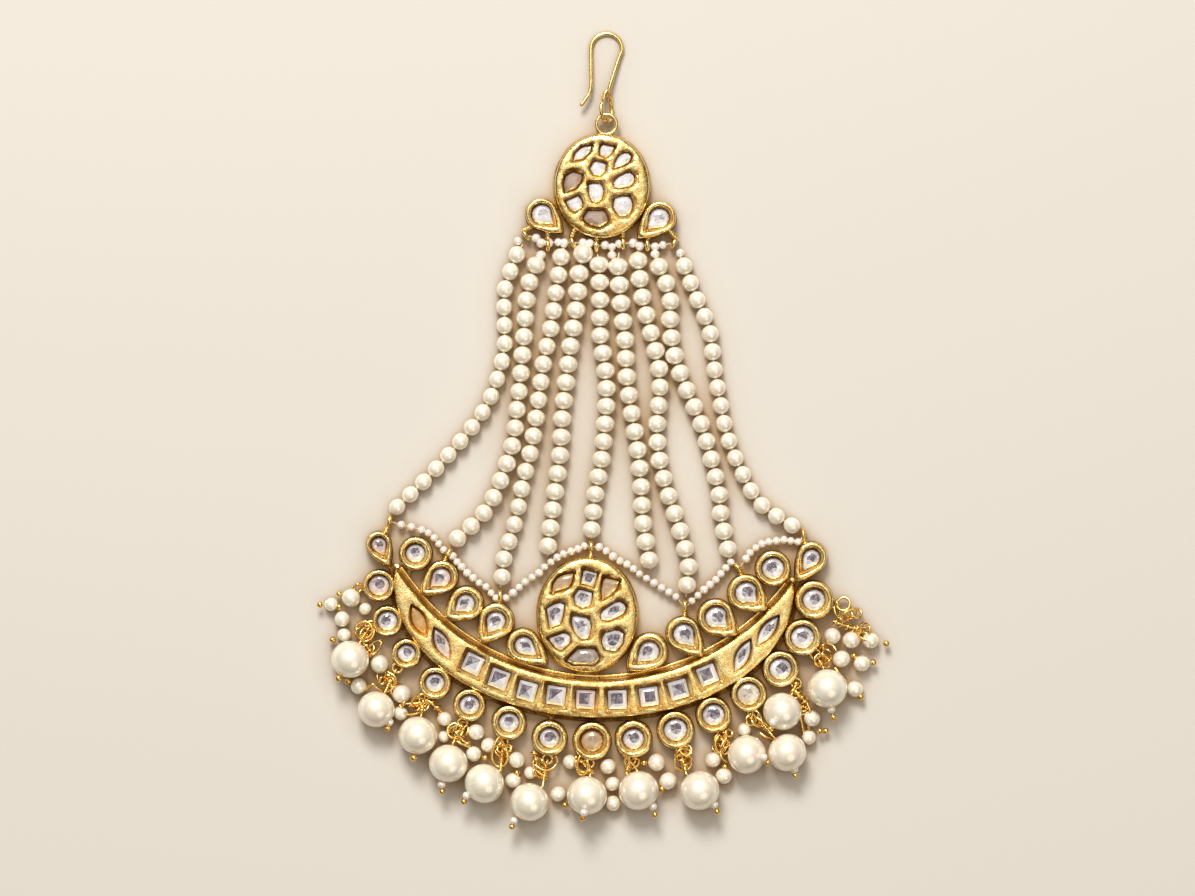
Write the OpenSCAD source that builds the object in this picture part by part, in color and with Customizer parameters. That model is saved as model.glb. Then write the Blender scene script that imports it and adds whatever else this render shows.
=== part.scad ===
// Passa jhoomar: a side headpiece of gilt metal, foiled stones and pearls.
// It lies on its back. +X is across, +Y is towards the hair hook, +Z is out of the face.
// The origin is on the flat back, under the middle of the crescent.

/* [Metal] */
// Height of the crescent above its flat back
crescent_h = 3.6; // [2.8:0.1:4.5]
// Height of the two medallions
medallion_h = 3.8; // [3:0.1:4.6]
// Height of the single stone settings
setting_h = 3.4; // [2.8:0.1:4]
// Depth of every stone pocket
pocket_deep = 1.7; // [1.2:0.1:2]
// Thickness of the thin foot under the crescent and settings
foot_h = 0.6; // [0.4:0.1:1]
// How far the foot stands out all round
foot_out = 0.3; // [0.1:0.1:0.5]

/* [Crescent] */
// Half width of the crescent from tip to tip
crescent_a = 40; // [36:0.5:44]
// Depth of its outer curve below the tips
crescent_b = 26; // [23:0.5:29]
// Radius of its inner curve
crescent_in_r = 47.5; // [45:0.5:52]
// Turn of the crescent as it lies
crescent_turn = -2; // [-4:0.5:4]

/* [Medallions] */
// Half width of the centre medallion
centre_a = 10; // [9:0.5:11]
// Half height of the centre medallion
centre_b = 11.5; // [10:0.5:12]
// Half width of the top medallion
top_a = 9.5; // [8.5:0.5:10.5]
// Half height of the top medallion
top_b = 10.4; // [9.4:0.2:11.4]

/* [Hook] */
// Diameter of the hook's wire
hook_wire = 0.8; // [0.6:0.1:0.9]
// Radius of the hook's bight
hook_r = 3.1; // [2.6:0.1:3.4]
// Diameter of the bail ring's wire
ring_wire = 0.56; // [0.4:0.02:0.6]

/* [Pearls] */
// Width of a string pearl across the string
pearl_w = 3.66; // [3.2:0.02:3.8]
// Gap left between two pearls on a string
pearl_gap = 0.14; // [0.12:0.01:0.3]
// Bore through a string pearl
pearl_bore = 0.9; // [0.7:0.05:1]
// Diameter of the stringing thread
thread_d = 0.3; // [0.2:0.05:0.4]
// Diameter of a row of seed pearls
seed_d = 1.5; // [1.2:0.1:1.7]

/* [Drops] */
// Wire of the drop pins and their loops
pin_d = 0.6; // [0.4:0.05:0.7]
// Bore through a large pearl
drop_bore = 1; // [0.9:0.05:1.2]
// Lift of each drop pin towards its gold ball, in degrees
pin_lift = 12; // [0:1:20]

/* [Hidden] */

gilt = "goldenrod";
dark_gilt = "darkgoldenrod";
glass = "whitesmoke";
pearl = "ivory";
linen = "wheat";

// Centres that the parts are placed from
crescent_x = -1.4;
crescent_out_y = 22.3;
crescent_in_y = 51.2;
centre_at = [-1.9, 16.8];
top_at = [1, 102.6];

// Fine gap of a stone in its pocket
stone_gap = 0.12;

// Stone pockets. Columns: kind, x, y, length, width, turn of the length in degrees.
// In the medallions x and y run from the medallion's centre.
KIND = 0;
PX = 1;
PY = 2;
LONG = 3;
WIDE = 4;
TURN = 5;

top_cells = [
  ["leaf",   -3.8,  6.6, 5.2, 2.6,   40],
  ["shield",  1.0,  7.5, 3.2, 3.4,   90],
  ["pear",    4.2,  5.2, 5.4, 3.0,   45],
  ["shield", -0.8,  3.6, 3.6, 3.6,   90],
  ["leaf",   -5.8,  1.2, 5.2, 3.2,   56],
  ["leaf",    4.4,  1.2, 5.4, 3.2,   20],
  ["egg",    -1.2, -1.3, 4.8, 4.0,   90],
  ["square", -5.4, -3.4, 3.6, 3.2,   75],
  ["round",   4.2, -4.0, 4.6, 4.6,    0],
  ["half",   -1.2, -6.5, 6.0, 3.4,    0]
];

centre_cells = [
  ["leaf",   -5.1,  6.6, 5.8, 3.6,   45],
  ["square",  0.5,  7.6, 3.2, 3.2,  -15],
  ["leaf",    4.3,  5.4, 5.2, 3.4,   50],
  ["shield", -1.0,  3.0, 3.8, 3.8,   90],
  ["square", -6.5,  0.0, 4.8, 2.8,   80],
  ["leaf",    4.9,  0.8, 5.4, 3.0,   25],
  ["egg",    -1.2, -2.0, 5.0, 4.0,   90],
  ["egg",    -5.5, -5.2, 4.0, 3.2,  110],
  ["square",  4.7, -5.0, 4.6, 4.2,   75],
  ["round",  -0.5, -8.1, 5.6, 3.4,    0]
];

crescent_cells = [
  ["leaf",   -35.6, 15.6, 6.5, 2.7, -65],
  ["leaf",   -31.0, 11.0, 6.7, 2.8, -65],
  ["square", -24.8,  7.0, 3.6, 3.6, -25],
  ["square", -19.6,  4.0, 3.6, 3.6, -20],
  ["square", -14.0,  1.6, 3.6, 3.6, -15],
  ["square",  -8.2,  0.7, 3.6, 3.6,  -8],
  ["square",  -2.3, -0.1, 3.6, 3.6,  -3],
  ["square",   4.1, -0.1, 3.6, 3.6,   2],
  ["square",  10.4,  0.5, 3.6, 3.6,   8],
  ["square",  16.3,  1.9, 3.6, 3.6,  15],
  ["square",  22.1,  4.8, 3.6, 3.6,  22],
  ["leaf",    29.1,  8.6, 7.0, 2.7,  65],
  ["leaf",    34.1, 13.6, 7.2, 2.6,  54]
];

// Single settings. Columns: x, y, outer radius, stone radius, then the point
// of a pear at x, y, and last the spot that its solder tab reaches.
// A round one has its own centre as the point.
R_OUT = 2;
R_STONE = 3;
TIP = 4;
TAB = 5;

upper_row = [
  [-43.7, 31.0, 2.5, 1.4, [-41.8, 27.0], [-40.0, 24.0]],
  [-36.3, 29.1, 3.3, 1.8, [-36.3, 29.1], [-38.6, 22.6]],
  [-31.0, 24.4, 3.2, 1.8, [-34.9, 21.2], [-35.4, 18.0]],
  [-26.1, 19.2, 3.4, 1.7, [-29.9, 16.4], [-30.4, 13.6]],
  [-20.1, 15.7, 3.5, 1.8, [-23.1, 11.6], [-23.4,  8.6]],
  [-14.8, 10.8, 3.3, 1.7, [-10.2,  7.3], [-13.6,  4.6]],
  [ 10.6,  9.6, 3.6, 1.9, [  6.3,  6.1], [ 10.2,  3.4]],
  [ 17.2, 13.1, 3.4, 2.0, [ 20.9,  8.8], [ 19.4,  6.2]],
  [ 23.7, 16.4, 3.6, 2.1, [ 27.6, 13.1], [ 26.6, 10.0]],
  [ 29.7, 21.3, 3.6, 2.1, [ 33.5, 18.0], [ 33.4, 14.6]],
  [ 35.2, 26.1, 3.5, 2.1, [ 35.2, 26.1], [ 38.2, 19.4]],
  [ 43.0, 28.4, 3.0, 1.6, [ 40.1, 23.8], [ 38.6, 20.8]]
];

lower_row = [
  [-43.6, 22.7, 3.1, 2.0, [-43.6, 22.7], [-38.6, 20.0]],
  [-41.9, 15.6, 3.0, 1.9, [-41.9, 15.6], [-36.8, 16.0]],
  [-38.1,  9.1, 2.9, 1.7, [-38.1,  9.1], [-34.6, 12.0]],
  [-32.4,  3.2, 3.2, 1.8, [-32.4,  3.2], [-29.6,  7.6]],
  [-25.5, -1.2, 3.2, 1.9, [-25.5, -1.2], [-23.6,  4.0]],
  [-17.6, -4.7, 3.4, 1.9, [-17.6, -4.7], [-16.6,  0.6]],
  [ -9.5, -7.8, 3.5, 1.9, [ -9.5, -7.8], [ -9.0, -1.6]],
  [ -1.0, -8.4, 3.8, 2.1, [ -1.0, -8.4], [ -1.0, -2.4]],
  [  7.3, -8.0, 3.7, 2.0, [  7.3, -8.0], [  6.8, -2.0]],
  [ 15.7, -6.2, 3.7, 2.2, [ 15.7, -6.2], [ 14.6, -0.6]],
  [ 23.3, -3.2, 3.5, 2.1, [ 23.3, -3.2], [ 21.8,  2.4]],
  [ 30.3,  1.0, 3.5, 2.2, [ 30.3,  1.0], [ 27.6,  5.8]],
  [ 36.7,  6.0, 3.6, 2.1, [ 36.7,  6.0], [ 33.0, 10.0]],
  [ 41.1, 12.3, 3.6, 2.2, [ 41.1, 12.3], [ 36.2, 14.4]],
  [ 43.4, 19.8, 3.8, 2.1, [ 43.4, 19.8], [ 37.6, 18.6]]
];

top_pears = [
  [-11.2, 97.0, 3.1, 1.9, [-7.2, 93.6], [-6.4, 99.4]],
  [ 12.6, 96.3, 3.2, 1.9, [ 8.5, 92.5], [ 8.0, 99.4]]
];

// Thread eyes. Columns: x, y, turn of the eye's axis, spot that its stem reaches.
EYE_TURN = 2;
STEM = 3;

top_eyes = [
  [-14.3, 92.8,  35, [-12.4, 95.0]],
  [ -9.8, 90.8,   0, [-10.0, 94.6]],
  [ -4.9, 91.3,  20, [ -4.2, 94.6]],
  [ -0.1, 90.6,   0, [  0.0, 94.0]],
  [  5.2, 91.1,   0, [  5.0, 95.0]],
  [ 10.1, 90.8,   0, [ 10.6, 94.4]],
  [ 15.4, 91.2, -30, [ 14.0, 94.2]]
];

low_eyes = [
  [-41.5, 35.6, -10, [-43.0, 32.4]],
  [-29.8, 29.1, -35, [-30.6, 26.4]],
  [-19.4, 20.6,   0, [-19.8, 18.0]],
  [ -1.2, 30.4,   0, [ -1.4, 27.6]],
  [ 17.6, 18.6,   0, [ 17.4, 15.4]],
  [ 28.2, 26.2,  35, [ 29.0, 23.6]],
  [ 41.3, 32.8,   0, [ 42.2, 30.2]]
];
eye_wire = 0.9;
eye_r = 1.0;
eye_z = 1.5;

// Rows of seed pearls. Columns: number of the eye that a span starts from, how far it sags,
// and how much more of that lies near its start.
// The third upper span lies behind a larger pearl and is too short for a row.
upper_spans = [[0, 0, 0], [1, -0.3, 0], [3, 0.6, 0], [4, 0.5, 0], [5, 0.5, 0]];
lower_spans = [
  [0, -1.7, 0], [1, -0.4, 0], [2, -1.6, 0], [3, -1.4, 0], [4, -0.6, 0], [5, -1.8, 1.6]
];
span_gap = 1.55;

// Pearl strings. Columns: number of pearls, first thread end, pearl route, last thread end.
// The route runs through pearl centres from the top eye down.
COUNT = 0;
HEAD = 1;
ROUTE = 2;
TAIL = 3;

strings = [
  [17, [-14.9, 90.8],
    [[-16, 88.9], [-18.4, 82], [-18.5, 75.2], [-18.8, 68.4], [-22.6, 57.8],
     [-31.9, 46.4], [-40, 38.4]],
    [-41.2, 37.4]],
  [17, [-11.3, 89.1],
    [[-12.2, 86.8], [-13.9, 81.8], [-14.6, 72.6], [-15.2, 65.6], [-16, 58.4],
     [-16.8, 51.4], [-19, 44.4], [-22.2, 37.7], [-27.9, 32.1]],
    [-29.2, 31.0]],
  [19, [-6.6, 90.1],
    [[-7.2, 88.4], [-8.2, 81.7], [-9.2, 74.5], [-10.7, 67.4], [-11.6, 60.5],
     [-13, 51], [-14.9, 43], [-16.3, 35.9], [-18.6, 28.2], [-19, 24.4]],
    [-19.3, 22.4]],
  [16, [-2.4, 91.0],
    [[-3.6, 85.1], [-4.2, 77.9], [-5.3, 70.8], [-6.2, 63.8], [-7, 56.5],
     [-7.4, 49.4], [-8.3, 42.4], [-9.3, 34.6], [-9.8, 30.6]],
    [-9.9, 28.6]],
  [16, [0.1, 88.9],
    [[0.4, 86.9], [0.6, 80], [0.6, 72.8], [1.7, 65.8], [1.9, 58.9],
     [1, 48.6], [-0.3, 41.3], [-1.1, 33.9]],
    [-1.2, 32.1]],
  [17, [4.4, 89.2],
    [[4.2, 86.5], [4.8, 79], [5.6, 72], [5.9, 64.8], [6.8, 57.8],
     [8, 50.6], [8.8, 43.4], [9.2, 35.6], [10.4, 27.8]],
    [10.7, 26.0]],
  [19, [8.07, 89.5],
    [[8.2, 87.7], [9, 80.8], [10.6, 73.8], [12.3, 66.8], [12.6, 61],
     [12, 56.2], [12.3, 48.8], [14, 41.6], [16.4, 34.3], [18.3, 26.9], [18, 22.8]],
    [17.8, 20.6]],
  [17, [11.2, 89.0],
    [[12.4, 86.5], [14.6, 80.8], [14.6, 75.5], [15.4, 69.1], [17.7, 62.4],
     [20.6, 55.8], [22.7, 48.8], [24.4, 41.4], [24.8, 36.5], [26.2, 30]],
    [26.7, 28.1]],
  [17, [16.3, 89.2],
    [[17.4, 86.6], [19.8, 80.4], [22.5, 73.8], [23.4, 66.6], [24.6, 59.6],
     [26, 52.8], [28.7, 45.9], [32.7, 39], [39.0, 34.7]],
    [40.2, 34.2]]
];
// The fourth string starts with one larger pearl: its centre, radius and the way of its bore
first_big = [-2.8, 89.0];
first_big_r = 1.8;
first_big_turn = 78.5;

// Large pearl drops. Columns: x, y, radius, eye x, eye y, direction of the pin.
DROP_R = 2;
EYE_X = 3;
EYE_Y = 4;
PIN_TURN = 5;

drops = [
  [-49.3,   8.0, 3.8,  -45.4,  14.6, -121],
  [-44.1,  -2.0, 3.7,  -40.0,   6.2, -117],
  [-35.8,  -7.2, 3.9,  -34.7,   0.2, -100],
  [-29.7, -12.8, 3.9,  -26.9,  -4.8, -103],
  [-22.5, -16.8, 4.0,  -18.8,  -8.6, -140],
  [-13.5, -20.5, 3.9,   -9.9, -12.0, -130],
  [ -2.0, -19.2, 4.0,   -1.6, -12.8,  -99],
  [  8.3, -18.2, 4.0,    6.8, -12.1,  -55],
  [ 20.5, -18.2, 4.0,   16.8, -10.5,  -51],
  [ 29.9, -11.0, 3.9,   25.1,  -7.0,  -27],
  [ 38.0, -10.6, 3.85,  31.3,  -3.0,  -49],
  [ 37.0,  -2.4, 3.85,  39.9,   3.1, -120],
  [ 46.0,   2.2, 4.0,   43.7,   8.9,  -79]
];
drop_eye_r = 0.95;
drop_eye_z = 1.4;
loop_r = 0.9;
ball_r = 0.75;

// Small pearls in the clusters. Columns: x, y, radius.
small_left = [
  [-49.2,  20.2, 1.9], [-53.2,  18.9, 1.4], [-51.0,  16.0, 1.6],
  [-46.4,  18.0, 1.3], [-50.6,  12.8, 1.4], [-43.5,   7.0, 1.9],
  [-47.7,   2.6, 1.7], [-39.1,   1.0, 1.9], [-39.3,  -2.9, 1.5],
  [-30.5,  -4.0, 1.5]
];
small_middle = [
  [-24.2,  -6.6, 1.7], [-21.7, -9.25, 1.55], [-24.7, -11.0, 1.6],
  [-16.1, -12.2, 1.7], [-16.8, -16.3, 1.6], [ -5.4, -12.6, 1.5],
  [ -7.8, -19.0, 1.6], [  2.2, -13.5, 1.6], [  3.1, -17.0, 1.5],
  [  3.2, -20.9, 1.6], [ 11.9, -12.7, 1.8], [ 14.2, -16.4, 1.8]
];
small_right = [
  [23.2, -12.2, 1.6], [25.4, -15.4, 1.7], [43.0,  -3.9, 1.7],
  [42.4,  -7.7, 1.5], [47.1,  12.6, 1.7], [50.9,  11.8, 1.8],
  [54.7,  11.7, 1.7], [48.9,   8.0, 1.8], [53.0,   7.1, 1.7],
  [51.6,   2.0, 1.7]
];
small_bore = 0.7;

// Hair hook, in its own plane, from the hinge in the bail ring
hinge_at = [1.9, 116.9, 2.3];
ring_r = 2;
hook_lay = 6.5;
hook_eye_r = 1.9;
hook_eye_up = 0.6;
hook_eye_roll = 55;
bight_up = 13.3;
leg_bend_r = 2;
leg_bend = 33;
leg_len = 8.3;
tip_len = 2.4;
join_gap = 0.04;

// Curves

// Point at t on a smooth curve from b to c, where a and d are the next points
function curve(a, b, c, d, t) =
  0.5 * (2 * b + (c - a) * t + (2 * a - 5 * b + 4 * c - d) * t * t
    + (3 * b - a - 3 * c + d) * t * t * t);

// A smooth path through hand-set points, with steps pieces in each span
function smooth(pts, steps = 10) = let (last = len(pts) - 1) [
  for (i = [0 : last - 1], k = [0 : steps - 1])
    curve(pts[max(i - 1, 0)], pts[i], pts[i + 1], pts[min(i + 2, last)], k / steps),
  pts[last]
];

// Running length at each point of a path
function run_to(path) = [
  for (i = 0, s = 0; i < len(path);
    i = i + 1, s = s + (i < len(path) ? norm(path[i] - path[i - 1]) : 0)) s
];

// Place and direction at length s along a path
function span_at(runs, s, i = 0) =
  (i >= len(runs) - 2 || runs[i + 1] >= s) ? i : span_at(runs, s, i + 1);
function along(path, runs, s) = let (i = span_at(runs, s))
  path[i] + (path[i + 1] - path[i]) * (s - runs[i]) / (runs[i + 1] - runs[i]);
function heading(path, runs, s) = let (
    a = along(path, runs, max(s - 0.8, 0)),
    b = along(path, runs, min(s + 0.8, runs[len(runs) - 1])))
  atan2(b.y - a.y, b.x - a.x);

function total(runs) = runs[len(runs) - 1];

// Outlines of stones and pockets. The length runs along X before the turn.
function spin(p, deg) = [p.x * cos(deg) - p.y * sin(deg), p.x * sin(deg) + p.y * cos(deg)];

corners = 12;
function oval(a, b, n = corners) = [for (i = [0 : n - 1]) [a * cos(i * 360 / n), b * sin(i * 360 / n)]];

// Two arcs that meet in points at both ends
function leaf(a, b) = let (half = corners / 2) concat(
  [for (i = [0 : half - 1]) let (x = -a + 2 * a * i / half) [x, -b * (1 - pow(x / a, 2))]],
  [for (i = [0 : half - 1]) let (x = a - 2 * a * i / half) [x, b * (1 - pow(x / a, 2))]]);

// An oval whose one end is fuller
function egg(a, b) = [for (p = oval(a, b)) [p.x, p.y * (1 + 0.16 * p.x / a)]];

// A round end and one point
function pear(a, b) = let (r = b) concat(
  [for (t = [-110 : 27.5 : 110]) [a - r + r * cos(t), r * sin(t)]],
  [[-a * 0.35, b * 0.62], [-a, 0], [-a * 0.35, -b * 0.62]]);

// A square with its corners clipped
function clipped(a, b) = let (c = 0.16 * min(a, b)) [
  [a, -b + c], [a, b - c], [a - c, b], [-a + c, b],
  [-a, b - c], [-a, -b + c], [-a + c, -b], [a - c, -b]];

// A flat end, rounded sides and a blunt point
function shield(a, b) = [
  [a, -b * 0.6], [a, b * 0.6], [a * 0.7, b * 0.95], [a * 0.1, b],
  [-a * 0.4, b * 0.8], [-a * 0.8, b * 0.4], [-a, 0],
  [-a * 0.8, -b * 0.4], [-a * 0.4, -b * 0.8], [a * 0.1, -b], [a * 0.7, -b * 0.95]];

// A flat top over a round bottom
function half_moon(a, b) = concat(
  [for (i = [0 : 8]) let (t = 180 + i * 22.5) [a * cos(t), b * 0.3 + b * 1.3 * sin(t)]],
  [[a * 0.8, b * 0.8], [0, b], [-a * 0.8, b * 0.8]]);

function outline(kind, a, b) =
  kind == "leaf" ? leaf(a, b) :
  kind == "egg" ? egg(a, b) :
  kind == "pear" ? pear(a, b) :
  kind == "square" ? clipped(a, b) :
  kind == "shield" ? shield(a, b) :
  kind == "half" ? half_moon(a, b) :
  oval(a, b);

// Outline of one cell at its place, made smaller all round by inset
function cell_outline(cell, inset = 0) = [
  for (p = outline(cell[KIND], cell[LONG] / 2 - inset, cell[WIDE] / 2 - inset))
    spin(p, cell[TURN]) + [cell[PX], cell[PY]]];

// A pear setting as a cell: its stone fills the same share of the setting
function pear_cell(row) = let (
    c = [row.x, row.y], to_tip = row[TIP] - c, reach = norm(to_tip), u = to_tip / reach,
    back = row[R_STONE] * 0.9, front = reach * 0.62, mid = c + u * (front - back) / 2)
  ["pear", mid.x, mid.y, front + back, row[R_STONE] * 2, atan2(-u.y, -u.x)];
function is_round(row) = norm(row[TIP] - [row.x, row.y]) < 0.1;
function row_cell(row) = is_round(row)
  ? ["round", row.x, row.y, row[R_STONE] * 2, row[R_STONE] * 2, 0] : pear_cell(row);

function moved(cells, at) = [for (c = cells)
  [c[KIND], c[PX] + at.x, c[PY] + at.y, c[LONG], c[WIDE], c[TURN]]];

// Stones

// Faceted stone: flat foiled back, a girdle, sloping crown facets and a table
module cut_stone(cell, top_z) {
  rim = cell_outline(cell, stone_gap);
  n = len(rim);
  mid = [cell[PX], cell[PY]];
  back_z = top_z - pocket_deep + stone_gap;
  girdle_z = back_z + 0.45;
  table_z = back_z + 1.1;
  function ring(share, z) = [for (p = rim) concat(mid + (p - mid) * share, [z])];
  points = concat(ring(0.94, back_z), ring(1, girdle_z), ring(0.6, table_z));
  sides = [for (k = [0 : 1], i = [0 : n - 1])
    [k * n + i, (k + 1) * n + i, (k + 1) * n + (i + 1) % n, k * n + (i + 1) % n]];
  polyhedron(points, concat(
    [[for (i = [0 : n - 1]) i]],
    sides,
    [[for (i = [n - 1 : -1 : 0]) 2 * n + i]]));
}

module stones(cells, top_z) {
  color(glass)
    for (c = cells) cut_stone(c, top_z);
}

module pockets(cells, top_z) {
  for (c = cells)
    translate([0, 0, top_z - pocket_deep])
      linear_extrude(pocket_deep + 1)
        polygon(cell_outline(c));
}

// Metal settings

// A round ended rod between two points
module rod(a, b, d) {
  v = b - a;
  translate(a)
    rotate([0, acos(v.z / norm(v)), atan2(v.y, v.x)])
      cylinder(d = d, h = norm(v), $fn = 32);
}

module ring_torus(r, wire) {
  rotate_extrude($fn = 64)
    translate([r, 0])
      circle(d = wire, $fn = 32);
}

// Flat solder tab under a setting
module tab(row) {
  v = row[TAB] - [row.x, row.y];
  translate([row.x, row.y, 0])
    rotate([0, 0, atan2(v.y, v.x)])
      translate([0, -0.8, 0])
        cube([norm(v), 1.6, 1.2]);
}

// Plan of a pear or round setting, larger all round by grow. The sides of its
// point meet the round end a little inside the tangent, at a slight waist.
waist = 0.93;
module setting_plan(row, grow = 0) {
  r = row[R_OUT] + grow;
  c = [row.x, row.y];
  v = row[TIP] - c;
  reach = norm(v);
  translate(c) circle(r = r, $fn = 64);
  if (reach > 0.1) {
    u = v / reach;
    side = [-u.y, u.x];
    inner = r * waist;
    open = acos(inner / (reach + grow));
    polygon([
      c + (u * cos(open) + side * sin(open)) * inner,
      row[TIP] + u * grow,
      c + (u * cos(open) - side * sin(open)) * inner,
      c
    ]);
  }
}

// Settings with their stepped shoulder, before their pockets are cut
module setting_blank(row) {
  linear_extrude(foot_h) setting_plan(row, foot_out / 2);
  linear_extrude(setting_h - 0.5) setting_plan(row);
  linear_extrude(setting_h) setting_plan(row, -0.35);
  tab(row);
}

module row_pockets(rows) {
  for (row = rows)
    translate([0, 0, setting_h - pocket_deep])
      if (is_round(row))
        translate([row.x, row.y, 0])
          cylinder(r = row[R_STONE], h = pocket_deep + 1, $fn = 64);
      else
        linear_extrude(pocket_deep + 1)
          polygon(cell_outline(pear_cell(row)));
}

// Upright eye that a thread runs through, with the stem that it is soldered by
module thread_eye(eye) {
  translate([eye.x, eye.y, eye_z])
    rotate([0, 90, eye[EYE_TURN]])
      ring_torus(eye_r, eye_wire);
  side = [-sin(eye[EYE_TURN]), cos(eye[EYE_TURN])];
  centre = [eye.x, eye.y];
  start = centre + side * eye_r * sign(side * (eye[STEM] - centre));
  rod(concat(start, [eye_z]), concat(eye[STEM], [eye_z]), 0.9);
}

// Ellipse plan of a medallion with a stepped shoulder
module medallion_blank(at, a, b) {
  translate([at.x, at.y, 0]) {
    linear_extrude(foot_h) polygon(oval(a + foot_out, b + foot_out, 72));
    linear_extrude(medallion_h - 0.6) polygon(oval(a, b, 72));
    linear_extrude(medallion_h) polygon(oval(a - 0.45, b - 0.45, 72));
  }
}

// Crescent plan: an ellipse below, a circle cut out above, larger by grow
module crescent_plan(grow = 0) {
  translate([crescent_x, 0])
    rotate(crescent_turn) {
      low = crescent_out_y;
      difference() {
        translate([0, low]) polygon(oval(crescent_a + grow, crescent_b + grow, 120));
        translate([0, crescent_in_y]) circle(r = crescent_in_r - grow, $fn = 180);
      }
    }
}

module drop_eye(row) {
  translate([row[EYE_X], row[EYE_Y], drop_eye_z])
    ring_torus(drop_eye_r, pin_d);
}

module lower_setting() {
  color(gilt)
    difference() {
      union() {
        linear_extrude(foot_h) crescent_plan(foot_out);
        linear_extrude(crescent_h - 0.4) crescent_plan();
        linear_extrude(crescent_h) crescent_plan(-0.3);
        medallion_blank(centre_at, centre_a, centre_b);
        translate([centre_at.x - 3, 1, 0]) cube([6, 8, 1.6]);
        for (row = upper_row) setting_blank(row);
        for (row = lower_row) setting_blank(row);
        for (eye = low_eyes) thread_eye(eye);
        for (row = drops) drop_eye(row);
      }
      pockets(crescent_cells, crescent_h);
      pockets(moved(centre_cells, centre_at), medallion_h);
      row_pockets(upper_row);
      row_pockets(lower_row);
    }
}

module top_setting() {
  color(gilt)
    difference() {
      union() {
        medallion_blank(top_at, top_a, top_b);
        for (row = top_pears) setting_blank(row);
        for (eye = top_eyes) thread_eye(eye);
        translate([hinge_at.x, hinge_at.y - ring_r, hinge_at.z])
          ring_torus(ring_r, ring_wire);
      }
      pockets(moved(top_cells, top_at), medallion_h);
      row_pockets(top_pears);
    }
}

module top_stones() {
  stones(moved(top_cells, top_at), medallion_h);
  stones([for (row = top_pears) row_cell(row)], setting_h);
}

// Hair hook: an eye in the bail ring, a slanting shank, a bight and a curled leg.
// Its straight and bent lengths meet inside small balls.
module hook_ball() {
  sphere(d = hook_wire + 0.1, $fn = 48);
}

module hook_length(long) {
  translate([0, join_gap, 0])
    rotate([-90, 0, 0])
      cylinder(d = hook_wire, h = long - 2 * join_gap, $fn = 32);
}

module hook_bend(r, sweep) {
  rotate_extrude(angle = sweep, $fn = 96)
    translate([r, 0])
      circle(d = hook_wire, $fn = 32);
}

module hair_hook() {
  eye_top = hook_eye_up + hook_eye_r;
  slant = asin(hook_r / (bight_up - eye_top));
  shank = sqrt(pow(bight_up - eye_top, 2) - pow(hook_r, 2));
  color(gilt)
    translate(hinge_at)
      rotate([-hook_lay, 0, 0]) {
        translate([0, hook_eye_up, 0])
          rotate([0, hook_eye_roll, 0])
            ring_torus(hook_eye_r, hook_wire);
        translate([0, eye_top, 0])
          rotate([0, 0, -slant]) {
            hook_ball();
            hook_length(shank);
            translate([0, shank, 0]) hook_ball();
          }
        translate([0, bight_up, 0])
          rotate([0, 0, -slant])
            hook_bend(hook_r, 180 + slant);
        translate([-hook_r, bight_up - leg_len, 0]) {
          translate([0, leg_len, 0]) hook_ball();
          hook_length(leg_len);
          hook_ball();
        }
        translate([-hook_r - leg_bend_r, bight_up - leg_len, 0])
          rotate([0, 0, -leg_bend]) {
            hook_bend(leg_bend_r, leg_bend);
            translate([leg_bend_r, 0, 0]) hook_ball();
            translate([leg_bend_r, -tip_len, 0]) {
              hook_length(tip_len);
              hook_ball();
            }
          }
      }
}

// Pearls and threads

// A drilled pearl, a little wider than it is long, with its bore along Z
module bead(long, wide, bore) {
  r = long / 2;
  rotate_extrude($fn = 64)
    intersection() {
      translate([(wide - long) / 2, 0]) circle(r = r, $fn = 64);
      translate([bore / 2, -r - 1]) square([wide, long + 2]);
    }
}

module strand(k) {
  row = strings[k - 1];
  path = smooth(row[ROUTE]);
  runs = run_to(path);
  pitch = total(runs) / (row[COUNT] - 1);
  long = pitch - pearl_gap;
  color(pearl) {
    for (i = [0 : row[COUNT] - 1]) {
      at = along(path, runs, i * pitch);
      translate([at.x, at.y, pearl_w / 2])
        rotate([0, 90, heading(path, runs, i * pitch)])
          bead(long, pearl_w, pearl_bore);
    }
    if (k == 4)
      translate([first_big.x, first_big.y, first_big_r])
        rotate([0, 90, first_big_turn])
          bead(first_big_r * 2 - 0.1, first_big_r * 2, pearl_bore);
  }
}

// Tube swept along a flat path at one height
module tube(path, z, d, sides) {
  n = len(path);
  points = [for (i = [0 : n - 1]) let (
      a = path[max(i - 1, 0)], b = path[min(i + 1, n - 1)],
      turn = atan2(b.y - a.y, b.x - a.x) + 90)
    for (k = [0 : sides - 1]) let (t = (k + 0.5) * 360 / sides)
      [path[i].x + d / 2 * cos(t) * cos(turn),
       path[i].y + d / 2 * cos(t) * sin(turn),
       z + d / 2 * sin(t)]];
  walls = [for (i = [0 : n - 2], k = [0 : sides - 1])
    [i * sides + k, i * sides + (k + 1) % sides,
     (i + 1) * sides + (k + 1) % sides, (i + 1) * sides + k]];
  polyhedron(points, concat(
    [[for (k = [sides - 1 : -1 : 0]) k]],
    walls,
    [[for (k = [0 : sides - 1]) (n - 1) * sides + k]]));
}

// A thread keeps to the pearl route, then runs straight out to its two ends
module thread(k) {
  row = strings[k - 1];
  path = concat([row[HEAD]], smooth(row[ROUTE], 5), [row[TAIL]]);
  color(linen)
    tube(path, pearl_w / 2, thread_d, 6);
}

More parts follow.
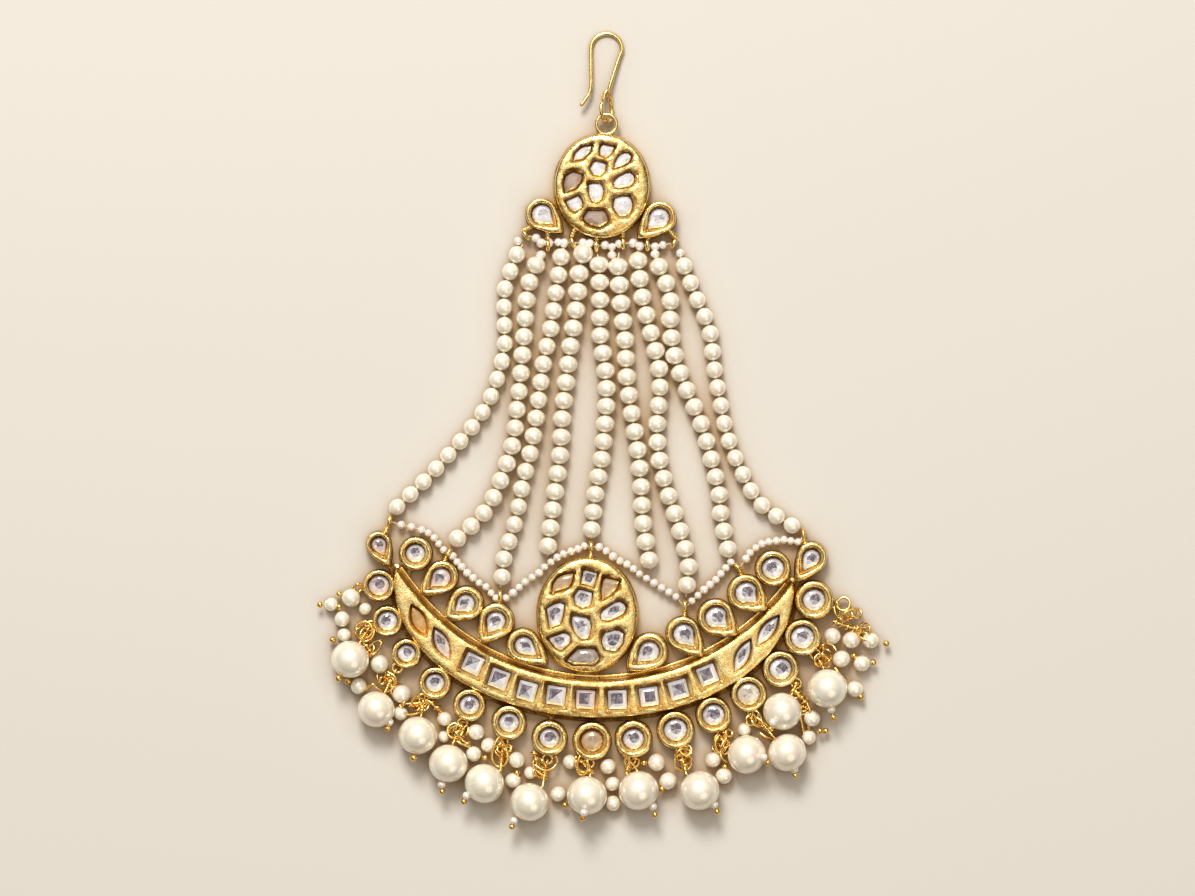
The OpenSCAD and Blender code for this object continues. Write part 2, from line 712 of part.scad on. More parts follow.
// A row of seed pearls between two eyes, bowed sideways by sag
function bowed(a, b, sag, skew, gap) = let (v = b - a, u = v / norm(v)) [
  for (i = [0 : 6]) let (t = i / 6)
    a + u * gap + (v - u * 2 * gap) * t + [0, -sag * 4 * t * (1 - t) * (1 + skew * (0.5 - t))]];

module seed_rows(eyes, spans) {
  color(pearl)
    for (span = spans) {
      from = eyes[span[0]];
      to = eyes[span[0] + 1];
      tube(bowed([from.x, from.y], [to.x, to.y], span[1], span[2], span_gap), eye_z, seed_d, 8);
    }
}

// Drops

function pin_way(row) = [
  cos(row[PIN_TURN]) * cos(pin_lift), sin(row[PIN_TURN]) * cos(pin_lift), sin(pin_lift)];

module large_pearl(k) {
  row = drops[k - 1];
  color(pearl)
    translate([row.x, row.y, row[DROP_R]])
      rotate([0, 90 - pin_lift, row[PIN_TURN]])
        difference() {
          sphere(r = row[DROP_R], $fn = 64);
          cylinder(d = drop_bore, h = row[DROP_R] * 3, center = true, $fn = 32);
        }
}

// Pin through a large pearl, its wrapped neck, the wire up to the eye and the loop in it
module drop_stem(k) {
  row = drops[k - 1];
  centre = [row.x, row.y, row[DROP_R]];
  way = pin_way(row);
  neck = centre - way * (row[DROP_R] + 0.35);
  far = centre + way * (row[DROP_R] + 0.7);
  turn = atan2(neck.y - row[EYE_Y], neck.x - row[EYE_X]);
  // the loop is centred on the wire of the eye that it hangs in
  hub = [row[EYE_X] + drop_eye_r * cos(turn), row[EYE_Y] + drop_eye_r * sin(turn), drop_eye_z];
  out = neck - hub;
  rise = atan2(out.z, norm([out.x, out.y]));
  u = out / norm(out);
  color(dark_gilt) {
    translate(hub)
      rotate([0, -rise, turn])
        rotate([90, 0, 0])
          ring_torus(loop_r, pin_d - 0.1);
    rod(hub + u * loop_r, neck, pin_d);
    rod(neck, far, pin_d);
    translate(neck)
      rotate([0, 0, row[PIN_TURN] + (turn > row[PIN_TURN] ? 90 : -90)])
        sphere(d = pin_d * 1.4, $fn = 32);
    translate(far) sphere(r = ball_r, $fn = 32);
  }
}

module small_pearls(rows) {
  color(pearl)
    for (row = rows)
      translate([row.x, row.y, row[DROP_R]])
        rotate([0, 90, row.y * 20])
          bead(row[DROP_R] * 2 - 0.1, row[DROP_R] * 2, small_bore);
}

hair_hook();
top_setting();
top_stones();
for (k = [1 : len(strings)]) {
  strand(k);
  thread(k);
}
seed_rows(top_eyes, upper_spans);  // upper_seed_rows
seed_rows(low_eyes, lower_spans);  // lower_seed_rows
lower_setting();
stones(crescent_cells, crescent_h);  // crescent_stones
stones(moved(centre_cells, centre_at), medallion_h);  // medallion_stones
stones([for (row = upper_row) row_cell(row)], setting_h);  // upper_row_stones
stones([for (row = lower_row) row_cell(row)], setting_h);  // lower_row_stones
for (k = [1 : len(drops)]) {
  large_pearl(k);
  drop_stem(k);
}
small_pearls(small_left);  // small_pearls_left
small_pearls(small_middle);  // small_pearls_middle
small_pearls(small_right);  // small_pearls_right
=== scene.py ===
import math
import random

import bpy
import numpy as np
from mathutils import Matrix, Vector, noise
from mathutils.geometry import delaunay_2d_cdt


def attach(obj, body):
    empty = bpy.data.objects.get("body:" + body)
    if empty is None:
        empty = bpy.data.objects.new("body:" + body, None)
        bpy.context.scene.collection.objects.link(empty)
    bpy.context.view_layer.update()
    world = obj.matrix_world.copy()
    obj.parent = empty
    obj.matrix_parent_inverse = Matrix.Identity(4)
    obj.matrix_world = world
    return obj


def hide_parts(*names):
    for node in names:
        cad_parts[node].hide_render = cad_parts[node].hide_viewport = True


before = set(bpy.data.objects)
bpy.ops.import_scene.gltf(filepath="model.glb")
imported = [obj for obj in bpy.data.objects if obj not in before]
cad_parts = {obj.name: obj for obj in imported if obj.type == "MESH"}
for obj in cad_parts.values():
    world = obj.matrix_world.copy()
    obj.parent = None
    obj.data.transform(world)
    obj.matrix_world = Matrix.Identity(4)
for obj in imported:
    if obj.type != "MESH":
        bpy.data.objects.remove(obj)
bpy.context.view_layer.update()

# Lengths in this script are millimetres; every mesh is turned to metres as it is made.
MM = 0.001
UP = np.array([0.0, 0.0, 1.0])
SIDEWAYS = np.array([1.0, 0.0, 0.0])
# Photo pixels in a millimetre, and the pixel of the frame's origin
PX, PX_X, PX_Y = 5.0, 597.0, 699.0


def from_photo(x, y):
    """A spot of the photo, in pixels, as millimetres on the jewel."""
    return (x - PX_X) / PX, (PX_Y - y) / PX


# Sizes and tables of the jewel

CRESCENT_H, MEDALLION_H, SETTING_H = 3.6, 3.8, 3.4
POCKET_DEEP = 1.7
# The crescent: centre and half widths of its outer ellipse, centre and radius of its inner
# circle, turn
CRESCENT_X, CRESCENT_OUT_Y, CRESCENT_IN_Y = -1.4, 22.3, 51.2
CRESCENT_A, CRESCENT_B, CRESCENT_IN_R, CRESCENT_TURN = 40.0, 26.0, 47.5, -2.0
EYE_Z, EYE_R, EYE_WIRE = 1.5, 1.0, 0.9
PEARL_W, PEARL_GAP = 3.66, 0.06

# Stone cells: kind, x, y, length, width, turn, foil
TOP_CELLS = [
    ("leaf", -3.8, 6.6, 5.2, 2.6, 40, "silver"), ("shield", 1.0, 7.5, 3.2, 3.4, 90, "silver"),
    ("pear", 4.2, 5.2, 5.4, 3.0, 45, "silver"), ("shield", -0.8, 3.6, 3.6, 3.6, 90, "silver"),
    ("leaf", -5.8, 1.2, 5.2, 3.2, 56, "brown"), ("leaf", 4.4, 1.2, 5.4, 3.2, 20, "silver"),
    ("egg", -1.2, -1.3, 4.8, 4.0, 90, "silver"), ("square", -5.4, -3.4, 3.6, 3.2, 75, "silver"),
    ("round", 4.2, -4.0, 4.6, 4.6, 0, "silver"), ("half", -1.2, -6.5, 6.0, 3.4, 0, "brown"),
]
CENTRE_CELLS = [
    ("leaf", -5.1, 6.6, 5.8, 3.6, 45, "amber"), ("square", 0.5, 7.6, 3.2, 3.2, -15, "silver"),
    ("leaf", 4.3, 5.4, 5.2, 3.4, 50, "amber"), ("shield", -1.0, 3.0, 3.8, 3.8, 90, "silver"),
    ("square", -6.5, 0.0, 4.8, 2.8, 80, "silver"), ("leaf", 4.9, 0.8, 5.4, 3.0, 25, "silver"),
    ("egg", -1.2, -2.0, 5.0, 4.0, 90, "silver"), ("egg", -5.5, -5.2, 4.0, 3.2, 110, "silver"),
    ("square", 4.7, -5.0, 4.6, 4.2, 75, "silver"), ("round", -0.5, -8.1, 5.6, 3.4, 0, "smoke"),
]
CRESCENT_CELLS = [
    ("leaf", -35.6, 15.6, 6.5, 2.7, -65, "orange"), ("leaf", -31.0, 11.0, 6.7, 2.8, -65, "blush"),
    ("square", -24.8, 7.0, 3.9, 3.9, -25, "silver"),
    ("square", -19.6, 4.0, 3.9, 3.9, -20, "silver"),
    ("square", -14.0, 1.6, 3.9, 3.9, -15, "silver"), ("square", -8.2, 0.7, 3.9, 3.9, -8, "silver"),
    ("square", -2.3, -0.1, 3.9, 3.9, -3, "blush"), ("square", 4.1, -0.1, 3.9, 3.9, 2, "silver"),
    ("square", 10.4, 0.5, 3.9, 3.9, 8, "silver"), ("square", 16.3, 1.9, 3.9, 3.9, 15, "silver"),
    ("square", 22.1, 4.8, 3.9, 3.9, 22, "silver"), ("leaf", 29.1, 8.6, 7.0, 2.7, 65, "silver"),
    ("leaf", 34.1, 13.6, 7.2, 2.6, 54, "silver"),
]

# Mouths of the medallions' pockets, in the order of their stones, from the medallion's centre
TOP_MOUTHS = [
    [(-3.6, 5.2), (-1.9, 6.8), (-1.7, 8.6), (-4.1, 8.3), (-5.8, 6.8), (-6.2, 4.7)],
    [(-0.8, 7.6), (-0.9, 6.2), (0.8, 5.3), (2.3, 6.4), (3.0, 8.2), (-0.2, 8.9)],
    [(4.1, 3.7), (5.9, 4.7), (6.3, 6.4), (5.1, 7.3), (3.3, 6.7), (2.2, 5.0), (2.0, 3.1)],
    [(-2.9, 3.6), (-2.0, 2.0), (-0.3, 1.6), (1.1, 2.9), (1.2, 4.9), (-1.7, 5.6)],
    [(-8.0, 0.4), (-7.6, -1.6), (-5.1, -0.8), (-3.8, 0.9), (-3.4, 2.6), (-5.9, 3.4), (-7.7, 2.3)],
    [(2.1, -0.4), (3.3, -0.8), (5.6, -0.4), (6.9, 0.9), (6.8, 2.4), (5.4, 3.4), (2.8, 2.2),
     (1.7, 0.7)],
    [(-3.1, -1.4), (-2.3, -3.3), (-0.8, -3.7), (0.4, -2.7), (0.8, -0.6), (0.1, 1.0), (-3.0, 1.0)],
    [(-6.8, -4.7), (-5.4, -5.5), (-3.6, -4.5), (-3.4, -3.2), (-4.5, -1.3), (-7.7, -2.7)],
    [(1.8, -4.2), (3.0, -6.1), (4.8, -6.3), (6.3, -5.0), (6.5, -3.2), (5.8, -1.6), (3.8, -1.5),
     (2.1, -2.1)],
    [(-4.3, -6.5), (-2.6, -7.9), (-0.5, -8.5), (1.5, -7.3), (1.6, -6.2), (0.8, -4.4), (-3.1, -4.4)],
]
CENTRE_MOUTHS = [
    [(-3.3, 5.4), (-2.6, 7.0), (-2.4, 8.9), (-4.4, 8.8), (-6.2, 8.0), (-7.3, 6.4), (-7.4, 4.1)],
    [(-1.8, 6.2), (1.5, 5.3), (2.5, 8.8), (-1.0, 9.7)],
    [(2.3, 5.3), (2.6, 2.7), (5.0, 3.8), (6.3, 5.4), (6.8, 7.3), (3.0, 8.1)],
    [(-3.1, 4.1), (-2.8, 2.0), (-1.0, 1.0), (1.0, 1.9), (1.5, 4.9), (-1.8, 5.8)],
    [(-8.2, -0.6), (-7.9, -2.9), (-5.1, -2.0), (-4.4, 0.3), (-4.2, 2.8), (-5.9, 3.1), (-8.7, 1.7)],
    [(2.4, -1.2), (4.7, -1.4), (7.7, 0.3), (8.3, 2.2), (6.1, 3.5), (2.9, 1.5), (2.1, 0.4)],
    [(-3.6, -1.2), (-3.0, -3.4), (-1.3, -5.2), (0.6, -4.8), (1.2, -1.8), (0.5, -0.1), (-3.3, 0.6)],
    [(-6.8, -6.6), (-5.2, -7.4), (-2.9, -5.4), (-3.2, -3.5), (-4.7, -2.9), (-8.4, -4.3)],
    [(2.4, -5.2), (3.1, -7.1), (5.9, -7.5), (7.4, -5.6), (7.7, -3.2), (5.8, -2.3), (2.9, -3.2)],
    [(-3.0, -10.1), (1.4, -10.2), (3.0, -8.5), (1.8, -6.2), (-1.9, -6.1), (-4.9, -8.9)],
]
# The medallions: centre, half width and half height, stones, mouths of their pockets
TOP_MEDALLION = ((1.0, 102.6), (9.5, 10.4), TOP_CELLS, TOP_MOUTHS)
CENTRE_MEDALLION = ((-1.9, 16.8), (10.0, 11.5), CENTRE_CELLS, CENTRE_MOUTHS)

# Single settings: x, y, outer radius, stone radius, point of a pear, end of the solder tab, foil
UPPER_ROW = [
    (-43.7, 31.0, 2.5, 1.4, (-41.8, 27.0), (-40.0, 24.0), "blush"),
    (-36.3, 29.1, 3.3, 1.8, (-36.3, 29.1), (-38.6, 22.6), "silver"),
    (-31.0, 24.4, 3.2, 1.8, (-34.9, 21.2), (-35.4, 18.0), "blush"),
    (-26.1, 19.2, 3.4, 1.7, (-29.9, 16.4), (-30.4, 13.6), "silver"),
    (-20.1, 15.7, 3.5, 1.8, (-23.1, 11.6), (-23.4, 8.6), "silver"),
    (-14.8, 10.8, 3.3, 1.7, (-10.2, 7.3), (-13.6, 4.6), "silver"),
    (10.6, 9.6, 3.6, 1.9, (6.3, 6.1), (10.2, 3.4), "silver"),
    (17.2, 13.1, 3.4, 2.0, (20.9, 8.8), (19.4, 6.2), "silver"),
    (23.7, 16.4, 3.6, 2.1, (27.6, 13.1), (26.6, 10.0), "silver"),
    (29.7, 21.3, 3.6, 2.1, (33.5, 18.0), (33.4, 14.6), "silver"),
    (35.2, 26.1, 3.5, 2.1, (35.2, 26.1), (38.2, 19.4), "silver"),
    (43.0, 28.4, 3.0, 1.6, (40.1, 23.8), (38.6, 20.8), "silver"),
]
LOWER_ROW = [
    (-43.6, 22.7, 3.1, 2.0, (-38.6, 20.0), "blush"),
    (-41.9, 15.6, 3.0, 1.9, (-36.8, 16.0), "silver"),
    (-38.1, 9.1, 2.9, 1.7, (-34.6, 12.0), "silver"),
    (-32.4, 3.2, 3.2, 1.8, (-29.6, 7.6), "silver"),
    (-25.5, -1.2, 3.2, 1.9, (-23.6, 4.0), "silver"),
    (-17.6, -4.7, 3.4, 1.9, (-16.6, 0.6), "silver"),
    (-9.5, -7.8, 3.5, 1.9, (-9.0, -1.6), "silver"), (-1.0, -8.4, 3.8, 2.1, (-1.0, -2.4), "amber"),
    (7.3, -8.0, 3.7, 2.0, (6.8, -2.0), "silver"), (15.7, -6.2, 3.7, 2.2, (14.6, -0.6), "silver"),
    (23.3, -3.2, 3.5, 2.1, (21.8, 2.4), "silver"), (30.3, 1.0, 3.5, 2.2, (27.6, 5.8), "cream"),
    (36.7, 6.0, 3.6, 2.1, (33.0, 10.0), "silver"), (41.1, 12.3, 3.6, 2.2, (36.2, 14.4), "silver"),
    (43.4, 19.8, 3.8, 2.1, (37.6, 18.6), "silver"),
]
TOP_PEARS = [
    (-11.2, 97.0, 3.1, 1.9, (-7.2, 93.6), (-6.4, 99.4), "silver"),
    (12.6, 96.3, 3.2, 1.9, (8.5, 92.5), (8.0, 99.4), "silver"),
]

# Thread eyes: x, y, turn of the eye's axis, spot where its stem is soldered
TOP_EYES = [
    (-14.3, 92.8, 35, (-12.4, 95.0)), (-9.8, 90.8, 0, (-10.0, 94.6)),
    (-4.9, 91.3, 20, (-4.2, 94.6)), (-0.1, 90.6, 0, (0.0, 94.0)), (5.2, 91.1, 0, (5.0, 95.0)),
    (10.1, 90.8, 0, (10.6, 94.4)), (15.4, 91.2, -30, (14.0, 94.2)),
]
LOW_EYES = [
    (-41.5, 35.6, -10, (-43.0, 32.4)), (-29.8, 29.1, -35, (-30.6, 26.4)),
    (-19.4, 20.6, 0, (-19.8, 18.0)), (-1.2, 30.4, 0, (-1.4, 27.6)), (17.6, 18.6, 0, (17.4, 15.4)),
    (28.2, 26.2, 35, (29.0, 23.6)), (41.3, 32.8, 0, (42.2, 30.2)),
]

# Strings: number of pearls, first thread end, route through the pearls, last thread end
STRINGS = [
    (17, (-14.9, 90.8), [(-16, 88.9), (-18.4, 82), (-18.5, 75.2), (-18.8, 68.4), (-22.6, 57.8),
                         (-31.9, 46.4), (-40, 38.4)], (-41.2, 37.4)),
    (17, (-11.3, 89.1), [(-12.2, 86.8), (-13.9, 81.8), (-14.6, 72.6), (-15.2, 65.6), (-16, 58.4),
                         (-16.8, 51.4), (-19, 44.4), (-22.2, 37.7), (-27.9, 32.1)], (-29.2, 31.0)),
    (19, (-6.6, 90.1), [(-7.2, 88.4), (-8.2, 81.7), (-9.2, 74.5), (-10.7, 67.4), (-11.6, 60.5),
                        (-13, 51), (-14.9, 43), (-16.3, 35.9), (-18.6, 28.2), (-19, 24.4)],
     (-19.3, 22.4)),
    (16, (-2.4, 91.0), [(-3.6, 85.1), (-4.2, 77.9), (-5.3, 70.8), (-6.2, 63.8), (-7, 56.5),
                        (-7.4, 49.4), (-8.3, 42.4), (-9.3, 34.6), (-9.8, 30.6)], (-9.9, 28.6)),
    (16, (0.1, 88.9), [(0.4, 86.9), (0.6, 80), (0.6, 72.8), (1.7, 65.8), (1.9, 58.9),
                       (1, 48.6), (-0.3, 41.3), (-1.1, 33.9)], (-1.2, 32.1)),
    (17, (4.4, 89.2), [(4.2, 86.5), (4.8, 79), (5.6, 72), (5.9, 64.8), (6.8, 57.8),
                       (8, 50.6), (8.8, 43.4), (9.2, 35.6), (10.4, 27.8)], (10.7, 26.0)),
    (19, (8.07, 89.5), [(8.2, 87.7), (9, 80.8), (10.6, 73.8), (12.3, 66.8), (12.6, 61),
                       (12, 56.2), (12.3, 48.8), (14, 41.6), (16.4, 34.3), (18.3, 26.9),
                       (18, 22.8)],
     (17.8, 20.6)),
    (17, (11.2, 89.0), [(12.4, 86.5), (14.6, 80.8), (14.6, 75.5), (15.4, 69.1), (17.7, 62.4),
                        (20.6, 55.8), (22.7, 48.8), (24.4, 41.4), (24.8, 36.5), (26.2, 30)],
     (26.7, 28.1)),
    (17, (16.3, 89.2), [(17.4, 86.6), (19.8, 80.4), (22.5, 73.8), (23.4, 66.6), (24.6, 59.6),
                        (26, 52.8), (28.7, 45.9), (32.7, 39), (39.0, 34.7)], (40.2, 34.2)),
]
# Width of each string's pearls against PEARL_W: the middle strings have the larger pearls
FULLNESS = (0.95, 1.07, 1.05, 1.12, 1.10, 1.12, 1.09, 1.08, 0.98)
# The large pearl that starts the fourth string: x, y, radius
FIRST_BIG = (-2.8, 89.1, 2.05)

# Large drops: x, y, radius, eye x, eye y, direction of the pin
DROPS = [
    (-49.3, 8.0, 3.8, -45.4, 14.6, -121), (-44.1, -2.0, 3.7, -40.0, 6.2, -117),
    (-35.8, -7.2, 3.9, -34.7, 0.2, -100), (-29.7, -12.8, 3.9, -26.9, -4.8, -103),
    (-22.5, -16.8, 4.0, -18.8, -8.6, -140), (-13.5, -20.5, 3.9, -9.9, -12.0, -130),
    (-2.0, -19.2, 4.0, -1.6, -12.8, -99), (8.3, -18.2, 4.0, 6.8, -12.1, -55),
    (20.5, -18.2, 4.0, 16.8, -10.5, -51), (29.9, -11.0, 3.9, 25.1, -7.0, -27),
    (38.0, -10.6, 3.85, 31.3, -3.0, -49), (37.0, -2.4, 3.85, 39.9, 3.1, -120),
    (46.0, 2.2, 4.0, 43.7, 8.9, -79),
]
PIN_LIFT, PIN_D, DROP_EYE_R, DROP_EYE_Z, LOOP_R, BALL_R = 12.0, 0.6, 0.95, 1.4, 0.9, 0.75

# Small pearls between the drops: x, y, radius
SMALL = {
    "small_pearls_left": [
        (-49.2, 20.2, 1.9), (-53.2, 18.9, 1.4), (-51.0, 16.0, 1.6), (-46.4, 18.0, 1.3),
        (-50.6, 12.8, 1.4), (-43.5, 7.0, 1.9), (-47.7, 2.6, 1.7), (-39.1, 1.0, 1.9),
        (-39.3, -2.9, 1.5), (-30.5, -4.0, 1.5)],
    "small_pearls_middle": [
        (-24.2, -6.6, 1.7), (-21.7, -9.25, 1.55), (-24.7, -11.0, 1.6), (-16.1, -12.2, 1.7),
        (-16.8, -16.3, 1.6), (-5.4, -12.6, 1.5), (-7.8, -19.0, 1.6), (2.2, -13.5, 1.6),
        (3.1, -17.0, 1.5), (3.2, -20.9, 1.6), (11.9, -12.7, 1.8), (14.2, -16.4, 1.8)],
    "small_pearls_right": [
        (23.2, -12.2, 1.6), (25.4, -15.4, 1.7), (43.0, -3.9, 1.7), (42.4, -7.7, 1.5),
        (47.1, 12.6, 1.7), (50.9, 11.8, 1.8), (54.7, 11.7, 1.7), (48.9, 8.0, 1.8),
        (53.0, 7.1, 1.7), (51.6, 2.0, 1.7)],
}
# Three more that only the scene has: photo x, y and radius in pixels
EXTRA_SMALL = [(443.5, 737, 6), (530, 773, 6.5), (744.4, 730, 7)]


# Curves and outlines

def unit(v):
    return v / (np.linalg.norm(v) or 1.0)


def smooth_path(points, steps=10):
    """A smooth path through given points, with steps pieces in each span."""
    pts = [np.array(p, float) for p in points]
    path = []
    for a, b, c, d in zip(pts[:1] + pts, pts, pts[1:], pts[2:] + pts[-1:]):
        for k in range(steps):
            t = k / steps
            path.append(0.5 * (2 * b + (c - a) * t + (2 * a - 5 * b + 4 * c - d) * t * t
                               + (3 * b - a - 3 * c + d) * t ** 3))
    return np.array(path + pts[-1:])


def running_length(path):
    return np.concatenate([[0], np.cumsum(np.linalg.norm(np.diff(path, axis=0), axis=1))])


def resample(outline, count):
    """A closed outline with count corners at even steps."""
    ring = np.vstack([outline, outline[:1]])
    runs = running_length(ring)
    at = np.arange(count) * runs[-1] / count
    return np.stack([np.interp(at, runs, ring[:, k]) for k in range(ring.shape[1])], axis=1)


def soften(outline, times):
    for _ in range(times):
        outline = (outline + 0.5 * (np.roll(outline, 1, 0) + np.roll(outline, -1, 0))) / 2
    return outline


def grown(outline, out):
    """A closed counter-clockwise outline moved outwards by out, a value or one for each corner."""
    along = np.roll(outline, -1, 0) - np.roll(outline, 1, 0)
    along /= np.linalg.norm(along, axis=1)[:, None] + 1e-12
    return outline + np.stack([along[:, 1], -along[:, 0]], axis=1) * np.reshape(out, (-1, 1))


def round_steps(n):
    return np.arange(n) * 2 * math.pi / n


def oval(a, b, n=12):
    t = round_steps(n)
    return np.stack([a * np.cos(t), b * np.sin(t)], axis=1)


def hoop(at, side, over, radius, steps):
    """Points of a circle in space, across the two directions side and over."""
    t = round_steps(steps)
    return at + radius * (np.outer(np.cos(t), side) + np.outer(np.sin(t), over))


def across(way):
    """A direction at right angles to way."""
    return unit(np.cross(way, UP if abs(way[2]) < 0.9 else SIDEWAYS))


def leaf(a, b):
    x = -a + 2 * a * np.arange(6) / 6
    low = np.stack([x, -b * (1 - (x / a) ** 2)], axis=1)
    return np.vstack([low, -low])


def kind_outline(kind, a, b):
    """Outline of one kind of stone. Its length runs along X."""
    if kind == "leaf":
        return leaf(a, b)
    if kind == "egg":
        p = oval(a, b)
        return np.stack([p[:, 0], p[:, 1] * (1 + 0.16 * p[:, 0] / a)], axis=1)
    if kind == "pear":
        arc = [(a - b + b * math.cos(math.radians(t)), b * math.sin(math.radians(t)))
               for t in np.arange(-110, 111, 27.5)]
        return np.array(arc + [(-a * 0.35, b * 0.62), (-a, 0), (-a * 0.35, -b * 0.62)])
    if kind == "square":
        c = 0.12 * min(a, b)
        return np.array([(a, -b + c), (a, b - c), (a - c, b), (-a + c, b),
                         (-a, b - c), (-a, -b + c), (-a + c, -b), (a - c, -b)])
    if kind == "shield":
        side = [(a, -b * 0.6), (a, b * 0.6), (a * 0.7, b * 0.95), (a * 0.1, b), (-a * 0.4, b * 0.8),
                (-a * 0.8, b * 0.4), (-a, 0), (-a * 0.8, -b * 0.4), (-a * 0.4, -b * 0.8),
                (a * 0.1, -b), (a * 0.7, -b * 0.95)]
        return np.array(side)
    if kind == "half":
        arc = [(a * math.cos(t), b * 0.3 + b * 1.3 * math.sin(t))
               for t in (math.pi + k * math.pi / 8 for k in range(9))]
        return np.array(arc + [(a * 0.8, b * 0.8), (0, b), (-a * 0.8, b * 0.8)])
    return oval(a, b)


def turned(points, degrees, at):
    c, s = math.cos(math.radians(degrees)), math.sin(math.radians(degrees))
    return points @ np.array([[c, s], [-s, c]]) + np.array(at)


def cell_outline(cell, inset=0.0):
    kind, x, y, long, wide, turn = cell[:6]
    return turned(kind_outline(kind, long / 2 - inset, wide / 2 - inset), turn, (x, y))


def placed(cells, at):
    return [(c[0], c[1] + at[0], c[2] + at[1]) + tuple(c[3:]) for c in cells]


def pear_cell(x, y, stone_r, tip, foil):
    centre = np.array((x, y))
    reach = np.linalg.norm(np.array(tip) - centre)
    u = (np.array(tip) - centre) / reach
    back, front = stone_r * 0.9, reach * 0.62
    mid = centre + u * (front - back) / 2
    turn = math.degrees(math.atan2(-u[1], -u[0]))
    return ("pear", mid[0], mid[1], front + back, stone_r * 2, turn, foil)


def point_of(row):
    """The point of a pear setting, or the middle of a round one."""
    return row[4] if len(row) == 7 else row[:2]


def row_cell(row):
    """The stone of a single setting as a cell, a little fuller than in the source."""
    x, y, _, stone_r = row[:4]
    stone_r += 0.15
    if math.dist(point_of(row), (x, y)) < 0.1:
        return ("round", x, y, stone_r * 2, stone_r * 2, 0, row[-1])
    return pear_cell(x, y, stone_r, point_of(row), row[-1])


# The points of pear settings are longer than in the source, and so rest on the crescent's ledge
TIP_LONGER, FLANK_BULGE, SETTING_CORNERS = 0.55, 0.42, 56


def setting_outline(row):
    """Plan of a single setting: a circle, or a circle drawn out to its point."""
    r = row[2]
    centre, tip = np.array(row[:2]), np.array(point_of(row))
    reach = np.linalg.norm(tip - centre)
    if reach < 0.1:
        return oval(r, r, SETTING_CORNERS) + centre
    tip, reach = tip + (tip - centre) / reach * TIP_LONGER, reach + TIP_LONGER
    heading = math.atan2(*(tip - centre)[::-1])
    open_at = math.acos(r / reach)
    arc = np.linspace(heading + open_at, heading + 2 * math.pi - open_at, 40)
    ring = np.stack([np.cos(arc), np.sin(arc)], axis=1) * r + centre
    along = (tip - centre) / reach
    flank = np.array([-along[1], along[0]])
    sides = []
    for start, side in ((ring[-1], -1), (ring[0], 1)):
        t = np.linspace(0.12, 0.9, 8)[:, None]
        sides.append(start + (tip - start) * t + flank * side * FLANK_BULGE * 4 * t * (1 - t))
    return soften(resample(np.vstack([ring, sides[0], tip, sides[1][::-1]]), SETTING_CORNERS), 1)


# Meshes

